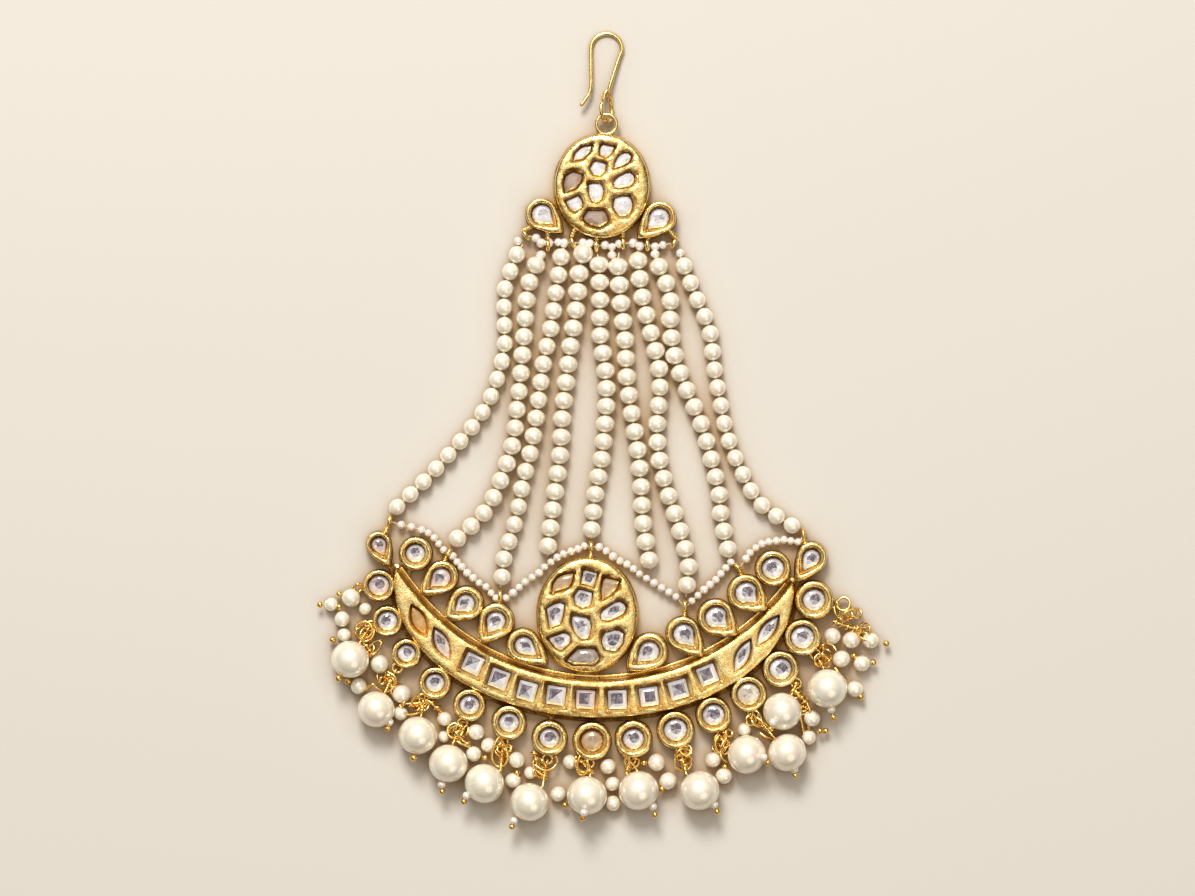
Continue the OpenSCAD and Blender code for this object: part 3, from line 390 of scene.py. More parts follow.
class Shape:
    """One piece: its vertices with a share of tarnish and painted shade and a foil colour each, its
    faces with a painted shade each.
    """

    def __init__(self):
        self.points, self.faces, self.flat, self.recess, self.tint = [], [], [], [], []
        self.shade = {}

    def add(self, points, faces, recess, tint=(1, 1, 1), flat=False, shade=()):
        base = len(self.points)
        points = np.asarray(points, float)
        self.shade.update({len(self.faces) + i: value for i, value in enumerate(shade)})
        self.points.extend(points.tolist())
        self.faces.extend([tuple(int(i) + base for i in f) for f in faces])
        self.flat.extend([flat] * len(faces))
        n = len(points)
        self.recess.extend(np.broadcast_to(recess, (n,)).tolist())
        self.tint.extend(np.broadcast_to(tint, (n, 3)).tolist())

    def skin(self, rings, recess, start=True, end=True, flat_ends=True):
        """Joins closed rings of equal count, from the outside round to the inside."""
        n, m = len(rings[0]), len(rings)
        faces = []
        for k in range(m - 1):
            for i in range(n):
                j = (i + 1) % n
                faces.append((k * n + i, k * n + j, (k + 1) * n + j, (k + 1) * n + i))
        values = np.asarray(recess, float)
        if values.ndim == 1:
            values = np.repeat(values, n)
        base = len(self.points)
        self.add(np.vstack(rings), faces, values.reshape(-1))
        caps = [tuple(range(base + n - 1, base - 1, -1))] if start else []
        caps += [tuple(range(base + (m - 1) * n, base + m * n))] if end else []
        self.faces.extend(caps)
        self.flat.extend([flat_ends] * len(caps))

    def tube(self, path, radius, sides, recess=0.0, closed=False):
        """A round wire along a path, with domed ends."""
        path = np.asarray(path, float)
        n = len(path)
        if closed:
            way = np.roll(path, -1, 0) - np.roll(path, 1, 0)
        else:
            way = np.gradient(path, axis=0)
        way /= np.linalg.norm(way, axis=1)[:, None] + 1e-12
        side = across(way[0])
        rings = []
        for i in range(n):
            side = unit(side - way[i] * np.dot(side, way[i]))
            rings.append(hoop(path[i], side, np.cross(way[i], side), radius, sides))
        if closed:
            base, last = len(self.points), (n - 1) * sides
            self.skin(rings, np.full(n, recess), start=False, end=False)
            gaps = [np.linalg.norm(np.roll(rings[0], -k, 0) - rings[-1]) for k in range(sides)]
            shift = int(np.argmin(gaps))
            for i in range(sides):
                j = (i + 1) % sides
                self.faces.append((base + last + i, base + last + j,
                                   base + (j + shift) % sides, base + (i + shift) % sides))
                self.flat.append(False)
            return
        # a domed end is two more rings: their share of the radius, and how far out they lie
        dome = ((0.8, 0.5), (0.4, 0.85))
        near = [path[0] + (rings[0] - path[0]) * s - way[0] * radius * out for s, out in dome[::-1]]
        far = [path[-1] + (rings[-1] - path[-1]) * s + way[-1] * radius * out for s, out in dome]
        rings = near + rings + far
        self.skin(rings, np.full(len(rings), recess), flat_ends=False)

    def ball(self, at, radius, sides=12, rings=8):
        """A ball of soldered gold."""
        pts = [(0, 0, -1)]
        for k in range(1, rings):
            a = math.pi * k / rings
            for i in range(sides):
                t = 2 * math.pi * i / sides
                pts.append((math.sin(a) * math.cos(t), math.sin(a) * math.sin(t), -math.cos(a)))
        pts.append((0, 0, 1))
        faces = [(0, 1 + (i + 1) % sides, 1 + i) for i in range(sides)]
        for k in range(rings - 2):
            a, b = 1 + k * sides, 1 + (k + 1) * sides
            faces += [(a + i, a + (i + 1) % sides, b + (i + 1) % sides, b + i)
                      for i in range(sides)]
        a, top = 1 + (rings - 2) * sides, len(pts) - 1
        faces += [(a + i, a + (i + 1) % sides, top) for i in range(sides)]
        self.add(np.array(pts) * radius + np.array(at), faces, 0.0)

    def piece(self, name, material, slot, body="root", stands_for=()):
        mesh = bpy.data.meshes.new(name)
        mesh.from_pydata([tuple(c * MM for c in p) for p in self.points], [], self.faces)
        mesh.polygons.foreach_set("use_smooth", [not f for f in self.flat])
        recess = mesh.attributes.new("recess", "FLOAT", "POINT")
        recess.data.foreach_set("value", np.clip(self.recess, 0, 1))
        tint = mesh.attributes.new("tint", "FLOAT_COLOR", "POINT")
        tint.data.foreach_set("color", [c for t in self.tint for c in (t[0], t[1], t[2], 1.0)])
        if self.shade:
            shade = mesh.attributes.new("shade", "FLOAT", "FACE")
            values = [self.shade.get(i, 0.0) for i in range(len(self.faces))]
            shade.data.foreach_set("value", values)
        mesh.materials.append(material)
        mesh.validate()
        mesh.update()
        return ready(bpy.data.objects.new(name, mesh), body, stands_for)


def ready(piece, body, stands_for):
    bpy.context.scene.collection.objects.link(piece)
    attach(piece, body)
    if stands_for:
        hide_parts(*stands_for)
    return piece


def with_z(outline, z):
    return np.column_stack([outline, np.broadcast_to(z, (len(outline),))])


def ripple(x, y, size, seed):
    """Smooth unevenness from -1 to 1, with bumps about size millimetres across."""
    return noise.noise(Vector((x / size, y / size, seed)))


def hammered(points, size, seed):
    return np.array([ripple(p[0], p[1], size, seed) for p in points])


def inside(points, ring):
    """Which points lie inside a closed outline."""
    x, y = points[:, 0], points[:, 1]
    hit = np.zeros(len(points), bool)
    px, py = ring[-1]
    for qx, qy in ring:
        cross = ((py > y) != (qy > y)) & (x < (qx - px) * (y - py) / ((qy - py) or 1e-12) + px)
        hit ^= cross
        px, py = qx, qy
    return hit


def distance_to(points, ring):
    """Distance from each point to the nearest place on a closed outline."""
    a, b = ring, np.roll(ring, -1, 0)
    ab = b - a
    best = np.full(len(points), 1e9)
    for p0, d in zip(a, ab):
        t = np.clip(((points - p0) @ d) / (d @ d + 1e-12), 0, 1)
        best = np.minimum(best, np.linalg.norm(points - (p0 + t[:, None] * d), axis=1))
    return best


# Metal: plates, settings, eyes

def add_tab(shape, start, end, width, height):
    """The flat solder tab under a setting, its edges a little rounded, painted dark with the shade
    that falls between the parts.
    """
    a, b = np.array(start, float), np.array(end, float)
    u = unit(b - a)
    w = np.array([-u[1], u[0]]) * width / 2
    plan = np.array([a - w, b - w, b + w, a + w])
    shape.skin([with_z(plan, 0), with_z(plan, height - 0.2), with_z(grown(plan, -0.15), height)],
               [1.0, 1.0, 0.9])


# A cup's rim and funnel, from its outer edge to the stone: share of the way, drop, share of tarnish
# and painted shade
CUP_PROFILE = [
    (0.0, 0.75, 0.35), (0.03, 0.42, 0.1), (0.10, 0.16, 0.0), (0.20, 0.02, 0.0), (0.42, -0.03, 0.0),
    (0.56, 0.02, 0.0), (0.64, 0.15, 0.1), (0.71, 0.48, 0.5), (0.82, 0.78, 0.7), (0.92, 1.0, 0.9),
    (1.0, 1.12, 0.9),
]
RIM_SHARE = 0.6          # the part of that profile that is rim and not funnel
CUP_FOOT = 0.15
# The wall of a pocket is dark where it faces away from the window, on its upper side
CUP_SHADED_SIDE, PLATE_SHADED_SIDE = np.array([-0.25, 0.97]), np.array([-0.25, 1.0])


def add_setting(shape, row, seed):
    """One cup: foot, wall, rolled outer rim, funnel darkened with tarnish and painted shade, and
    the pocket of the stone.
    """
    cell = row_cell(row)
    outer = setting_outline(row)
    outer = grown(outer, 0.09 * hammered(outer, 2.3, seed + 2))
    n = len(outer)
    pocket = soften(resample(cell_outline(cell), n * 4), 3)
    centre = np.array(cell[1:3])
    # match the corners of pocket and rim by the way they face from the stone's centre
    face = np.arctan2(*(outer - centre).T[::-1])
    faces = np.arctan2(*(pocket - centre).T[::-1])
    order = np.argsort(faces)
    ring = np.stack([np.interp(face, faces[order], pocket[order, k], period=2 * math.pi)
                     for k in (0, 1)], axis=1)
    foot = grown(outer, CUP_FOOT)
    rings = [with_z(foot, 0), with_z(foot, 0.5)]
    rings += [with_z(outer, 0.62), with_z(outer, SETTING_H - 1.4)]
    # foot and wall carry tarnish and painted shade, darkest at the foot
    tarnish_shade_share = [0.9, 0.9, 0.95, 0.6]
    for share, drop, step_tarnish_shade in CUP_PROFILE:
        flat = outer + (ring - outer) * share
        level = SETTING_H - drop
        level = level + 0.11 * hammered(flat, 1.1, seed) + 0.05 * hammered(flat, 0.45, seed + 5)
        if share < 1:
            flat = grown(flat, 0.05 * float(share < RIM_SHARE))
        rings.append(with_z(flat, level))
        tarnish_shade_share.append(step_tarnish_shade)
    # down the inside of the pocket to its floor
    rings.append(with_z(grown(ring, -0.1), SETTING_H - POCKET_DEEP))
    tarnish_shade_share.append(1.0)
    # painted shade: the upper wall of the funnel, which faces away from the window, is painted
    # darker, the lower one lighter
    away = outer - centre
    facing = (away @ CUP_SHADED_SIDE) / np.linalg.norm(away, axis=1)
    shaded = np.array([0.0] * 11 + [0.5] * 5)
    shape.skin(rings, np.clip(np.array(tarnish_shade_share)[:, None] + shaded[:, None] * facing[None, :], 0, 1))
    if np.linalg.norm(np.array(row[-2]) - np.array(row[:2])) > 0:
        add_tab(shape, row[:2], row[-2], 1.1, 0.5)


# Corners of a pocket's outline, how far the stone is in from a medallion's mouth, and its lean down
POCKET_CORNERS, STONE_INSET, STONE_LEAN = 72, 0.36, 0.2
# A plate's wall, from the foot up: share of the foot's reach, height. Then share of the rim, drop
PLATE_FOOT = [(1.0, 0.0), (1.0, 0.42), (0.8, 0.55), (0.0, 0.66)]
PLATE_BROW = [(0.12, 0.42), (0.45, 0.14), (1.0, 0.0)]
# Tarnish and painted shade of the outer wall's rings, from the foot up: darkest at the base and in
# the crease above the foot
PLATE_WALL_TARNISH_SHADE = np.array([0.7, 0.0, 0.0, 0.9, 0.4, 0.1, 0.0, 0.0])
# A pocket's wall, from its mouth to the stone: share of the way, drop, share of tarnish and painted
# shade
POCKET_PROFILE = [(0.0, 0.0, 0.05), (0.12, 0.10, 0.3), (0.50, 0.62, 0.55), (0.86, 1.02, 0.7),
                  (1.0, 1.15, 0.95)]


def add_plate(shape, contour, pockets, top_z, rough, seed, rim=0.45, spacing=0.42, crown=0.0,
              middle=(0, 0), reach=(1, 1), foot_out=0.3, foot_tarnish_shade=0.3):
    """A thick plate with pockets, domed and hammered on top. Each pocket: its mouth, its seat."""
    brow = grown(contour, -rim)
    mouths = [mouth for mouth, _ in pockets]
    low, high = brow.min(0), brow.max(0)
    xs = np.arange(low[0], high[0], spacing)
    ys = np.arange(low[1], high[1], spacing * 0.87)
    grid = np.array([(x + (spacing / 2 if j % 2 else 0), y) for j, y in enumerate(ys) for x in xs])
    grid = grid[inside(grid, brow)]
    grid = grid[distance_to(grid, brow) > spacing * 0.55]
    for mouth in mouths:
        grid = grid[~inside(grid, mouth) & (distance_to(grid, mouth) > spacing * 0.45)]

    # constraint loops: the brow and each mouth
    loops = [brow] + mouths
    plan = np.vstack(loops + [grid])
    edges, start = [], 0
    for loop in loops:
        n = len(loop)
        edges += [(start + i, start + (i + 1) % n) for i in range(n)]
        start += n
    made = delaunay_2d_cdt([Vector(p) for p in plan], edges, [], 0, 1e-6)
    spots = np.array([tuple(v) for v in made[0]])
    tris = np.array(made[2])
    mids = spots[tris].mean(axis=1)
    good = inside(mids, brow)
    for mouth in mouths:
        good &= ~inside(mids, mouth)
    tris = tris[good]

    to_mouth = np.full(len(spots), 1e9)
    for mouth in mouths:
        to_mouth = np.minimum(to_mouth, distance_to(spots, mouth))
    to_rim = distance_to(spots, brow)
    off = (spots - np.array(middle)) / np.array(reach)
    dome = -crown * np.clip((off ** 2).sum(axis=1), 0, 1.3)
    bezel = -0.08 * np.exp(-(to_mouth / 0.12) ** 2)
    edge = -0.16 * np.exp(-(to_rim / 0.28) ** 2)
    waves = np.array([1.0 * ripple(x, y, 1.9, seed) + 0.7 * ripple(x, y, 0.8, seed + 3)
                      + 0.35 * ripple(x, y, 0.4, seed + 7) for x, y in spots])
    level = top_z + dome + bezel + edge + rough * waves
    valley = np.clip((to_mouth - 0.7) / 0.8, 0, 1) * np.clip((to_rim - 0.4) / 0.8, 0, 1)
    pits = np.clip(-waves * 0.7, 0, 1)
    shape.add(np.column_stack([spots, level]), tris, np.clip(0.12 * valley + 0.32 * pits, 0, 1))

    # outer wall, from the foot up to the brow
    def height_at(loop):
        d = np.linalg.norm(spots[None, :, :] - loop[:, None, :], axis=2)
        return level[d.argmin(axis=1)]
    brow_z = height_at(brow)
    foot_out = np.broadcast_to(foot_out, (len(contour),))
    walls = [with_z(grown(contour, foot_out * share), z) for share, z in PLATE_FOOT]
    walls += [with_z(contour, top_z - 1.0)]
    walls += [with_z(grown(contour, -rim * share), brow_z - drop) for share, drop in PLATE_BROW]
    tarnish_shade_share = PLATE_WALL_TARNISH_SHADE[:, None] + np.zeros(len(contour))
    tarnish_shade_share[1:3] = foot_tarnish_shade
    shape.skin(walls, tarnish_shade_share, end=False)

    # pocket walls and floors
    for mouth, stone in pockets:
        z = height_at(mouth)
        rings = [with_z(mouth + (stone - mouth) * share, z - drop)
                 for share, drop, _ in POCKET_PROFILE]
        rings.append(with_z(stone, top_z - POCKET_DEEP))
        # painted shade: the upper wall, which faces away from the window, is painted darker, the
        # lower one lighter
        facing = (mouth - mouth.mean(0)) @ PLATE_SHADED_SIDE / np.ptp(mouth[:, 1]) * 2
        tarnish_shade_share = np.array([row[2] for row in POCKET_PROFILE] + [1.0])[:, None]
        tarnish_shade_share = tarnish_shade_share + 0.55 * np.clip(facing, -1, 1)
        tarnish_shade_share[0] = np.clip(tarnish_shade_share[0], 0, 0.25)
        shape.skin(rings, np.clip(tarnish_shade_share, 0, 1), start=False)


def crescent_contour():
    """The crescent: the part of a wide ellipse that lies below a larger circle."""
    low = oval(CRESCENT_A, CRESCENT_B, 1440) + np.array([0, CRESCENT_OUT_Y])
    hub = np.array([0, CRESCENT_IN_Y])
    outer = low[np.linalg.norm(low - hub, axis=1) > CRESCENT_IN_R]
    heads = np.degrees(np.arctan2(outer[:, 1] - CRESCENT_OUT_Y, outer[:, 0]))
    outer = outer[np.argsort(np.where(heads > 90, heads - 360, heads))]
    left, right = outer[0], outer[-1]
    a = math.atan2(right[1] - CRESCENT_IN_Y, right[0])
    b = math.atan2(left[1] - CRESCENT_IN_Y, left[0])
    arc = np.linspace(a, b if b < a else b - 2 * math.pi, 400)
    inner = np.stack([np.cos(arc), np.sin(arc)], axis=1) * CRESCENT_IN_R + hub
    plan = turned(np.vstack([outer, inner[1:-1]]), CRESCENT_TURN, (CRESCENT_X, 0))
    return soften(resample(plan, 420), 2)


# A thread eye's stem: half its thickness, and radius and half thickness of the wire round it
STEM_R, TWIST_R, TWIST_WIRE_R = 0.45, 0.5, 0.17


def add_thread_eye(shape, eye):
    """An upright ring of soft wire with a twisted stem."""
    x, y, turn, stem = eye
    axis = np.array([math.cos(math.radians(turn)), math.sin(math.radians(turn)), 0])
    side = np.array([-axis[1], axis[0], 0])
    centre = np.array([x, y, EYE_Z])
    shape.tube(hoop(centre, side, UP, EYE_R, 22), EYE_WIRE / 2, 9, 0.1, closed=True)
    away = unit(np.array([stem[0] - x, stem[1] - y, 0]))
    end = np.array([stem[0], stem[1], EYE_Z])
    base = centre + side * EYE_R * (1 if side @ away > 0 else -1)
    shape.tube([base, base + (end - base) * 0.5, end], STEM_R, 9, 0.3)
    for k in range(3):
        at = base + (end - base) * (0.15 + 0.22 * k)
        add_wire_ring(shape, at, away, TWIST_R, TWIST_WIRE_R, 12)


def add_wire_ring(shape, at, axis, radius, wire, steps):
    axis = unit(np.array(axis, float))
    side = across(axis)
    ring = hoop(np.array(at), side, np.cross(axis, side), radius, steps)
    shape.tube(ring, wire, 7, 0.1, closed=True)


# Stones

FOILS = {
    "silver": (0.95, 0.94, 0.97), "blush": (0.93, 0.80, 0.78), "brown": (0.46, 0.34, 0.27),
    "amber": (0.66, 0.46, 0.26), "orange": (0.80, 0.47, 0.16), "smoke": (0.46, 0.38, 0.32),
    "cream": (0.86, 0.78, 0.64),
}
COLOURED_FOILS = ("brown", "amber", "orange", "cream", "smoke")


def add_stone(shape, cell, top_z, chance, dark_reflection_share, seat):
    """A faceted stone over foil: girdle, two tiers of crown facets and a table cut like a pie, with
    painted dark reflections.
    """
    rim = cell_outline(cell, 0.08) if seat is None else grown(seat, -0.06)
    square = cell[0] == "square"
    if not square or seat is not None:
        rim = resample(rim, 14)
    n = len(rim)
    # the painted dark reflection is weaker over coloured foil
    dark_reflection = dark_reflection_share * chance.uniform(0.8, 1.05) * (0.35 if cell[6] in COLOURED_FOILS else 1.0)
    mid = rim.mean(0)
    back = top_z - POCKET_DEEP + 0.06
    half = (rim + np.roll(rim, -1, 0)) / 2
    # back, girdle and two tiers of the crown: outline, share of its width, height
    top_share = 0.72 if square else 0.68
    tiers = [(rim, 0.94, 0.0), (rim, 1.0, 0.42), (half, 0.86, 0.80), (rim, top_share, 0.98)]
    rings = [with_z(mid + (loop - mid) * share, back + z) for loop, share, z in tiers]
    # painted dark reflection: a fan of facets on one side of the table is painted dark, and the
    # table's middle drifts that way
    drift = np.array([chance.uniform(-0.25, 0.25), chance.uniform(0.0, 0.3)]) * cell[4] / 4
    rings.append(with_z(mid + drift + (rim - mid) * (0.56 if square else 0.48), back + 1.1))
    points = np.vstack(rings + [with_z(np.array([mid + drift * 0.6]), back + 1.12)])
    # the painted dark reflection fills one corner of the table on the squares on the left, the
    # whole table on the others
    rest = 0.5 if not square else 0.35 if mid[0] < -3 else 0.9
    faces, shade = [tuple(range(n - 1, -1, -1))], [0.0]
    low, high = (105, 165) if square and mid[0] < -5 else (55, 125)
    lean = math.radians(chance.uniform(low, high))
    girdle, crown, table, top, tip = n, 2 * n, 3 * n, 4 * n, 5 * n
    for i in range(n):
        j = (i + 1) % n
        out = (rim[i] + rim[j]) / 2 - mid
        turn = abs((math.atan2(out[1], out[0]) - lean + math.pi) % (2 * math.pi) - math.pi)
        fan = dark_reflection * (1.0 if turn < (1.2 if square else 0.9) else 0.5 if turn < 1.45 else 0.0)
        heart = dark_reflection * (1.0 if turn < 1.9 else rest) * chance.choice((0.8, 0.95, 1.15))
        for face, value in (((i, j, girdle + j, girdle + i), 0.05),
                            ((girdle + i, girdle + j, crown + i), 0.05 + 0.25 * fan),
                            ((crown + i, girdle + j, crown + j), 0.02 + 0.3 * fan),
                            ((crown + i, crown + j, table + j), 0.35 * fan),
                            ((table + i, crown + i, table + j), 0.30 * fan),
                            ((table + i, table + j, top + j, top + i), 0.8 * fan),
                            ((top + i, top + j, tip), heart)):
            faces.append(face)
            shade.append(value * chance.uniform(0.75, 1.1))
    shape.add(points, faces, 0.0, FOILS[cell[6]], flat=True, shade=shade)


def give_facets(piece, seed):
    """A random value for each facet, which paints it a little lighter or darker, as if no two sent
    back quite the same light.
    """
    chance = random.Random(seed)
    values = piece.data.attributes.new("facet", "FLOAT", "FACE")
    values.data.foreach_set("value", [chance.random() for _ in piece.data.polygons])


# Beads by geometry nodes

def bead_tree():
    """Nodes that set one bead on every point, sized and turned by the point's own values."""
    tree = bpy.data.node_groups.new("beads_on_points", "GeometryNodeTree")
    face = tree.interface
    face.new_socket("Points", in_out="INPUT", socket_type="NodeSocketGeometry")
    for name, value in (("Sides", 16), ("Rings", 9)):
        face.new_socket(name, in_out="INPUT", socket_type="NodeSocketInt").default_value = value
    face.new_socket("Finish", in_out="INPUT", socket_type="NodeSocketMaterial")
    face.new_socket("Beads", in_out="OUTPUT", socket_type="NodeSocketGeometry")
    node = tree.nodes.new
    enter, leave = node("NodeGroupInput"), node("NodeGroupOutput")
    ball = node("GeometryNodeMeshUVSphere")
    ball.inputs["Radius"].default_value = 1.0
    size, turn = node("GeometryNodeInputNamedAttribute"), node("GeometryNodeInputNamedAttribute")
    for wanted, name in ((size, "bead_size"), (turn, "bead_turn")):
        wanted.data_type = "FLOAT_VECTOR"
        wanted.inputs["Name"].default_value = name
    spread, real = node("GeometryNodeInstanceOnPoints"), node("GeometryNodeRealizeInstances")
    smooth, finish = node("GeometryNodeSetShadeSmooth"), node("GeometryNodeSetMaterial")
    for source, out, target, into in (
            (enter, "Sides", ball, "Segments"), (enter, "Rings", ball, "Rings"),
            (enter, "Points", spread, "Points"), (ball, "Mesh", spread, "Instance"),
            (turn, "Attribute", spread, "Rotation"), (size, "Attribute", spread, "Scale"),
            (spread, "Instances", smooth, "Geometry"), (smooth, "Geometry", real, "Geometry"),
            (real, "Geometry", finish, "Geometry"), (enter, "Finish", finish, "Material"),
            (finish, "Geometry", leave, "Beads")):
        tree.links.new(source.outputs[out], target.inputs[into])
    return tree


BEADS = bead_tree()
# Sides and rings of the beads, by how large they look
DROP_BEAD, SMALL_BEAD, STRING_BEAD = (40, 24), (20, 12), (18, 10)
END_BEAD, SEED_BEAD = (12, 8), (10, 6)


def socket_id(tree, name):
    return next(s.identifier for s in tree.interface.items_tree
                if s.name == name and s.in_out == "INPUT")


def bead_piece(name, beads, material, faces, stands_for=()):
    """One mesh of beads. Each bead: place, half widths (length last), direction of its bore."""
    mesh = bpy.data.meshes.new(name + "_points")
    mesh.from_pydata([tuple(c * MM for c in b[0]) for b in beads], [], [])
    turns = []
    for _, _, way in beads:
        euler = Vector(way).to_track_quat("Z", "Y").to_euler()
        turns += [euler.x, euler.y, euler.z]
    sizes = [c * MM for b in beads for c in b[1]]
    for label, values in (("bead_size", sizes), ("bead_turn", turns)):
        mesh.attributes.new(label, "FLOAT_VECTOR", "POINT").data.foreach_set("vector", values)
    carrier = bpy.data.objects.new(name + "_points", mesh)
    bpy.context.scene.collection.objects.link(carrier)
    maker = carrier.modifiers.new("beads", "NODES")
    maker.node_group = BEADS
    for label, value in (("Sides", faces[0]), ("Rings", faces[1]), ("Finish", material)):
        maker[socket_id(BEADS, label)] = value
    view = bpy.context.evaluated_depsgraph_get()
    made = bpy.data.meshes.new_from_object(carrier.evaluated_get(view))
    made.name = name
    if not made.materials:
        made.materials.append(material)
    bpy.data.objects.remove(carrier)
    return ready(bpy.data.objects.new(name, made), "root", stands_for)


# Finishes

def shader_group(name, inputs, outputs):
    tree = bpy.data.node_groups.new(name, "ShaderNodeTree")
    for label, kind, value in inputs:
        made = tree.interface.new_socket(label, in_out="INPUT", socket_type="NodeSocket" + kind)
        made.default_value = value
    for label, kind in outputs:
        tree.interface.new_socket(label, in_out="OUTPUT", socket_type="NodeSocket" + kind)
    return tree, tree.nodes.new("NodeGroupInput"), tree.nodes.new("NodeGroupOutput")


class Nodes:
    """Short ways to place and join shader nodes."""

    def __init__(self, tree):
        self.tree = tree

    def put(self, kind, **values):
        made = self.tree.nodes.new("ShaderNode" + kind)
        for name, value in values.items():
            setattr(made, name, value)
        return made

    def join(self, a, b):
        self.tree.links.new(a, b)

    def feed(self, socket, value):
        if hasattr(value, "is_output"):
            self.join(value, socket)
        else:
            socket.default_value = value

    def noise(self, scale, detail=3.0, rough=0.55, where=None):
        made = self.put("TexNoise")
        self.feed(made.inputs["Scale"], scale)
        made.inputs["Detail"].default_value = detail
        made.inputs["Roughness"].default_value = rough
        if where is not None:
            self.join(where, made.inputs["Vector"])
        return made.outputs["Fac"]

    def math(self, how, a, b, clamp=False):
        made = self.put("Math", operation=how, use_clamp=clamp)
        self.feed(made.inputs[0], a)
        self.feed(made.inputs[1], b)
        return made.outputs[0]

    def span(self, value, low, high, to_low=0.0, to_high=1.0):
        made = self.put("MapRange")
        self.feed(made.inputs["Value"], value)
        for label, number in (("From Min", low), ("From Max", high),
                              ("To Min", to_low), ("To Max", to_high)):
            made.inputs[label].default_value = number
        return made.outputs["Result"]

    def mix(self, share, a, b, how="MIX"):
        made = self.put("Mix", data_type="RGBA", blend_type=how)
        self.feed(made.inputs[0], share)
        self.feed(made.inputs[6], a)
        self.feed(made.inputs[7], b)
        return made.outputs[2]

    def spot(self):
        return self.put("TexCoord").outputs["Object"]

    def value_of(self, name, colour=False):
        made = self.put("Attribute", attribute_name=name)
        return made.outputs["Color" if colour else "Fac"]

    def use(self, group, **values):
        made = self.put("Group", node_tree=group)
        for label, value in values.items():
            self.feed(made.inputs[label.replace("_", " ")], value)
        return made.outputs


def plated_metal_group():
    """Gold plate: pale where it is rubbed, brown where the mesh carries tarnish and painted shade,
    with a sandy grain.
    """
    tree, enter, leave = shader_group(
        "plated_metal",
        [("Bright", "Color", (0.9, 0.7, 0.3, 1)), ("Deep", "Color", (0.7, 0.45, 0.1, 1)),
         ("Tarnish", "Color", (0.12, 0.07, 0.02, 1)), ("Recess", "Float", 0.0),
         ("Grain", "Float", 5000.0), ("Patch", "Float", 350.0)],
        [("Colour", "Color"), ("Roughness", "Float"), ("Height", "Float")])
    n = Nodes(tree)
    spot = n.spot()
    grain = n.noise(enter.outputs["Grain"], 2.0, 0.6, spot)
    patch = n.noise(enter.outputs["Patch"], 4.0, 0.6, spot)
    cloud = n.span(patch, 0.38, 0.64)
    plate = n.mix(cloud, enter.outputs["Deep"], enter.outputs["Bright"])
    fleck = n.span(grain, 0.40, 0.66, 0.82, 1.12)
    speck = n.mix(1.0, plate, n.span(grain, 0.36, 0.62, 0.74, 1.12), "MULTIPLY")
    uneven = n.math("MULTIPLY", n.math("SUBTRACT", 0.5, patch), 0.9)
    # tarnish and painted shade: where the mesh's share of them is high, made uneven by the patches,
    # the dark colour is mixed in
    tarnish_shade_share = n.math("ADD", enter.outputs["Recess"], uneven)
    tarnish_shade_share = n.span(n.math("MULTIPLY", tarnish_shade_share, fleck), 0.28, 0.95)
    n.join(n.mix(tarnish_shade_share, speck, enter.outputs["Tarnish"]), leave.inputs["Colour"])
    rough = n.math("ADD", n.span(patch, 0.3, 0.7, 0.30, 0.15), n.math("MULTIPLY", tarnish_shade_share, 0.30))
    n.join(n.math("ADD", rough, n.span(grain, 0.3, 0.7, -0.04, 0.06), True),
           leave.inputs["Roughness"])
    n.join(n.math("ADD", n.math("MULTIPLY", grain, 0.6), n.math("MULTIPLY", patch, 0.4)),
           leave.inputs["Height"])
    return tree


def nacre_group():
    """Pearl skin: cream with faint rosy and greenish clouds and a nearly even height."""
    tree, enter, leave = shader_group(
        "nacre", [("Body", "Color", (0.9, 0.85, 0.75, 1)), ("Blush", "Color", (0.9, 0.75, 0.65, 1)),
                  ("Cloud", "Float", 120.0)],
        [("Colour", "Color"), ("Roughness", "Float"), ("Height", "Float")])
    n = Nodes(tree)
    spot = n.spot()
    cloud = n.noise(enter.outputs["Cloud"], 3.0, 0.5, spot)
    skin = n.noise(900.0, 2.0, 0.5, spot)
    tone = n.mix(n.span(cloud, 0.42, 0.62), enter.outputs["Body"], enter.outputs["Blush"])
    n.join(n.mix(1.0, tone, n.span(skin, 0.3, 0.7, 0.95, 1.03), "MULTIPLY"), leave.inputs["Colour"])
    n.join(n.span(skin, 0.3, 0.7, 0.20, 0.28), leave.inputs["Roughness"])
    n.join(skin, leave.inputs["Height"])
    return tree


PLATED, NACRE = plated_metal_group(), nacre_group()


def new_material(name, rough=0.3, metallic=0.0):
    made = bpy.data.materials.new(name)
    made.use_nodes = True
    n = Nodes(made.node_tree)
    shader = made.node_tree.nodes["Principled BSDF"]
    shader.inputs["Roughness"].default_value = rough
    shader.inputs["Metallic"].default_value = metallic
    return made, n, shader


def bumped(n, shader, height, strength, distance):
    bump = n.put("Bump")
    bump.inputs["Strength"].default_value = strength
    bump.inputs["Distance"].default_value = distance
    n.join(height, bump.inputs["Height"])
    n.join(bump.outputs["Normal"], shader.inputs["Normal"])


def gold(name, bright, deep, tarnish_shade_colour, grain, patch, bump):
    """Gold plate from its rubbed and plain colours, the dark colour of its tarnish and painted
    shade, its grain, patches and bump.
    """
    made, n, shader = new_material(name, metallic=1.0)
    out = n.use(PLATED, Bright=bright, Deep=deep, Tarnish=tarnish_shade_colour, Grain=grain, Patch=patch,
                Recess=n.value_of("recess"))
    n.join(out["Colour"], shader.inputs["Base Color"])
    n.join(out["Roughness"], shader.inputs["Roughness"])
    bumped(n, shader, out["Height"], bump, 0.00012)
    return made


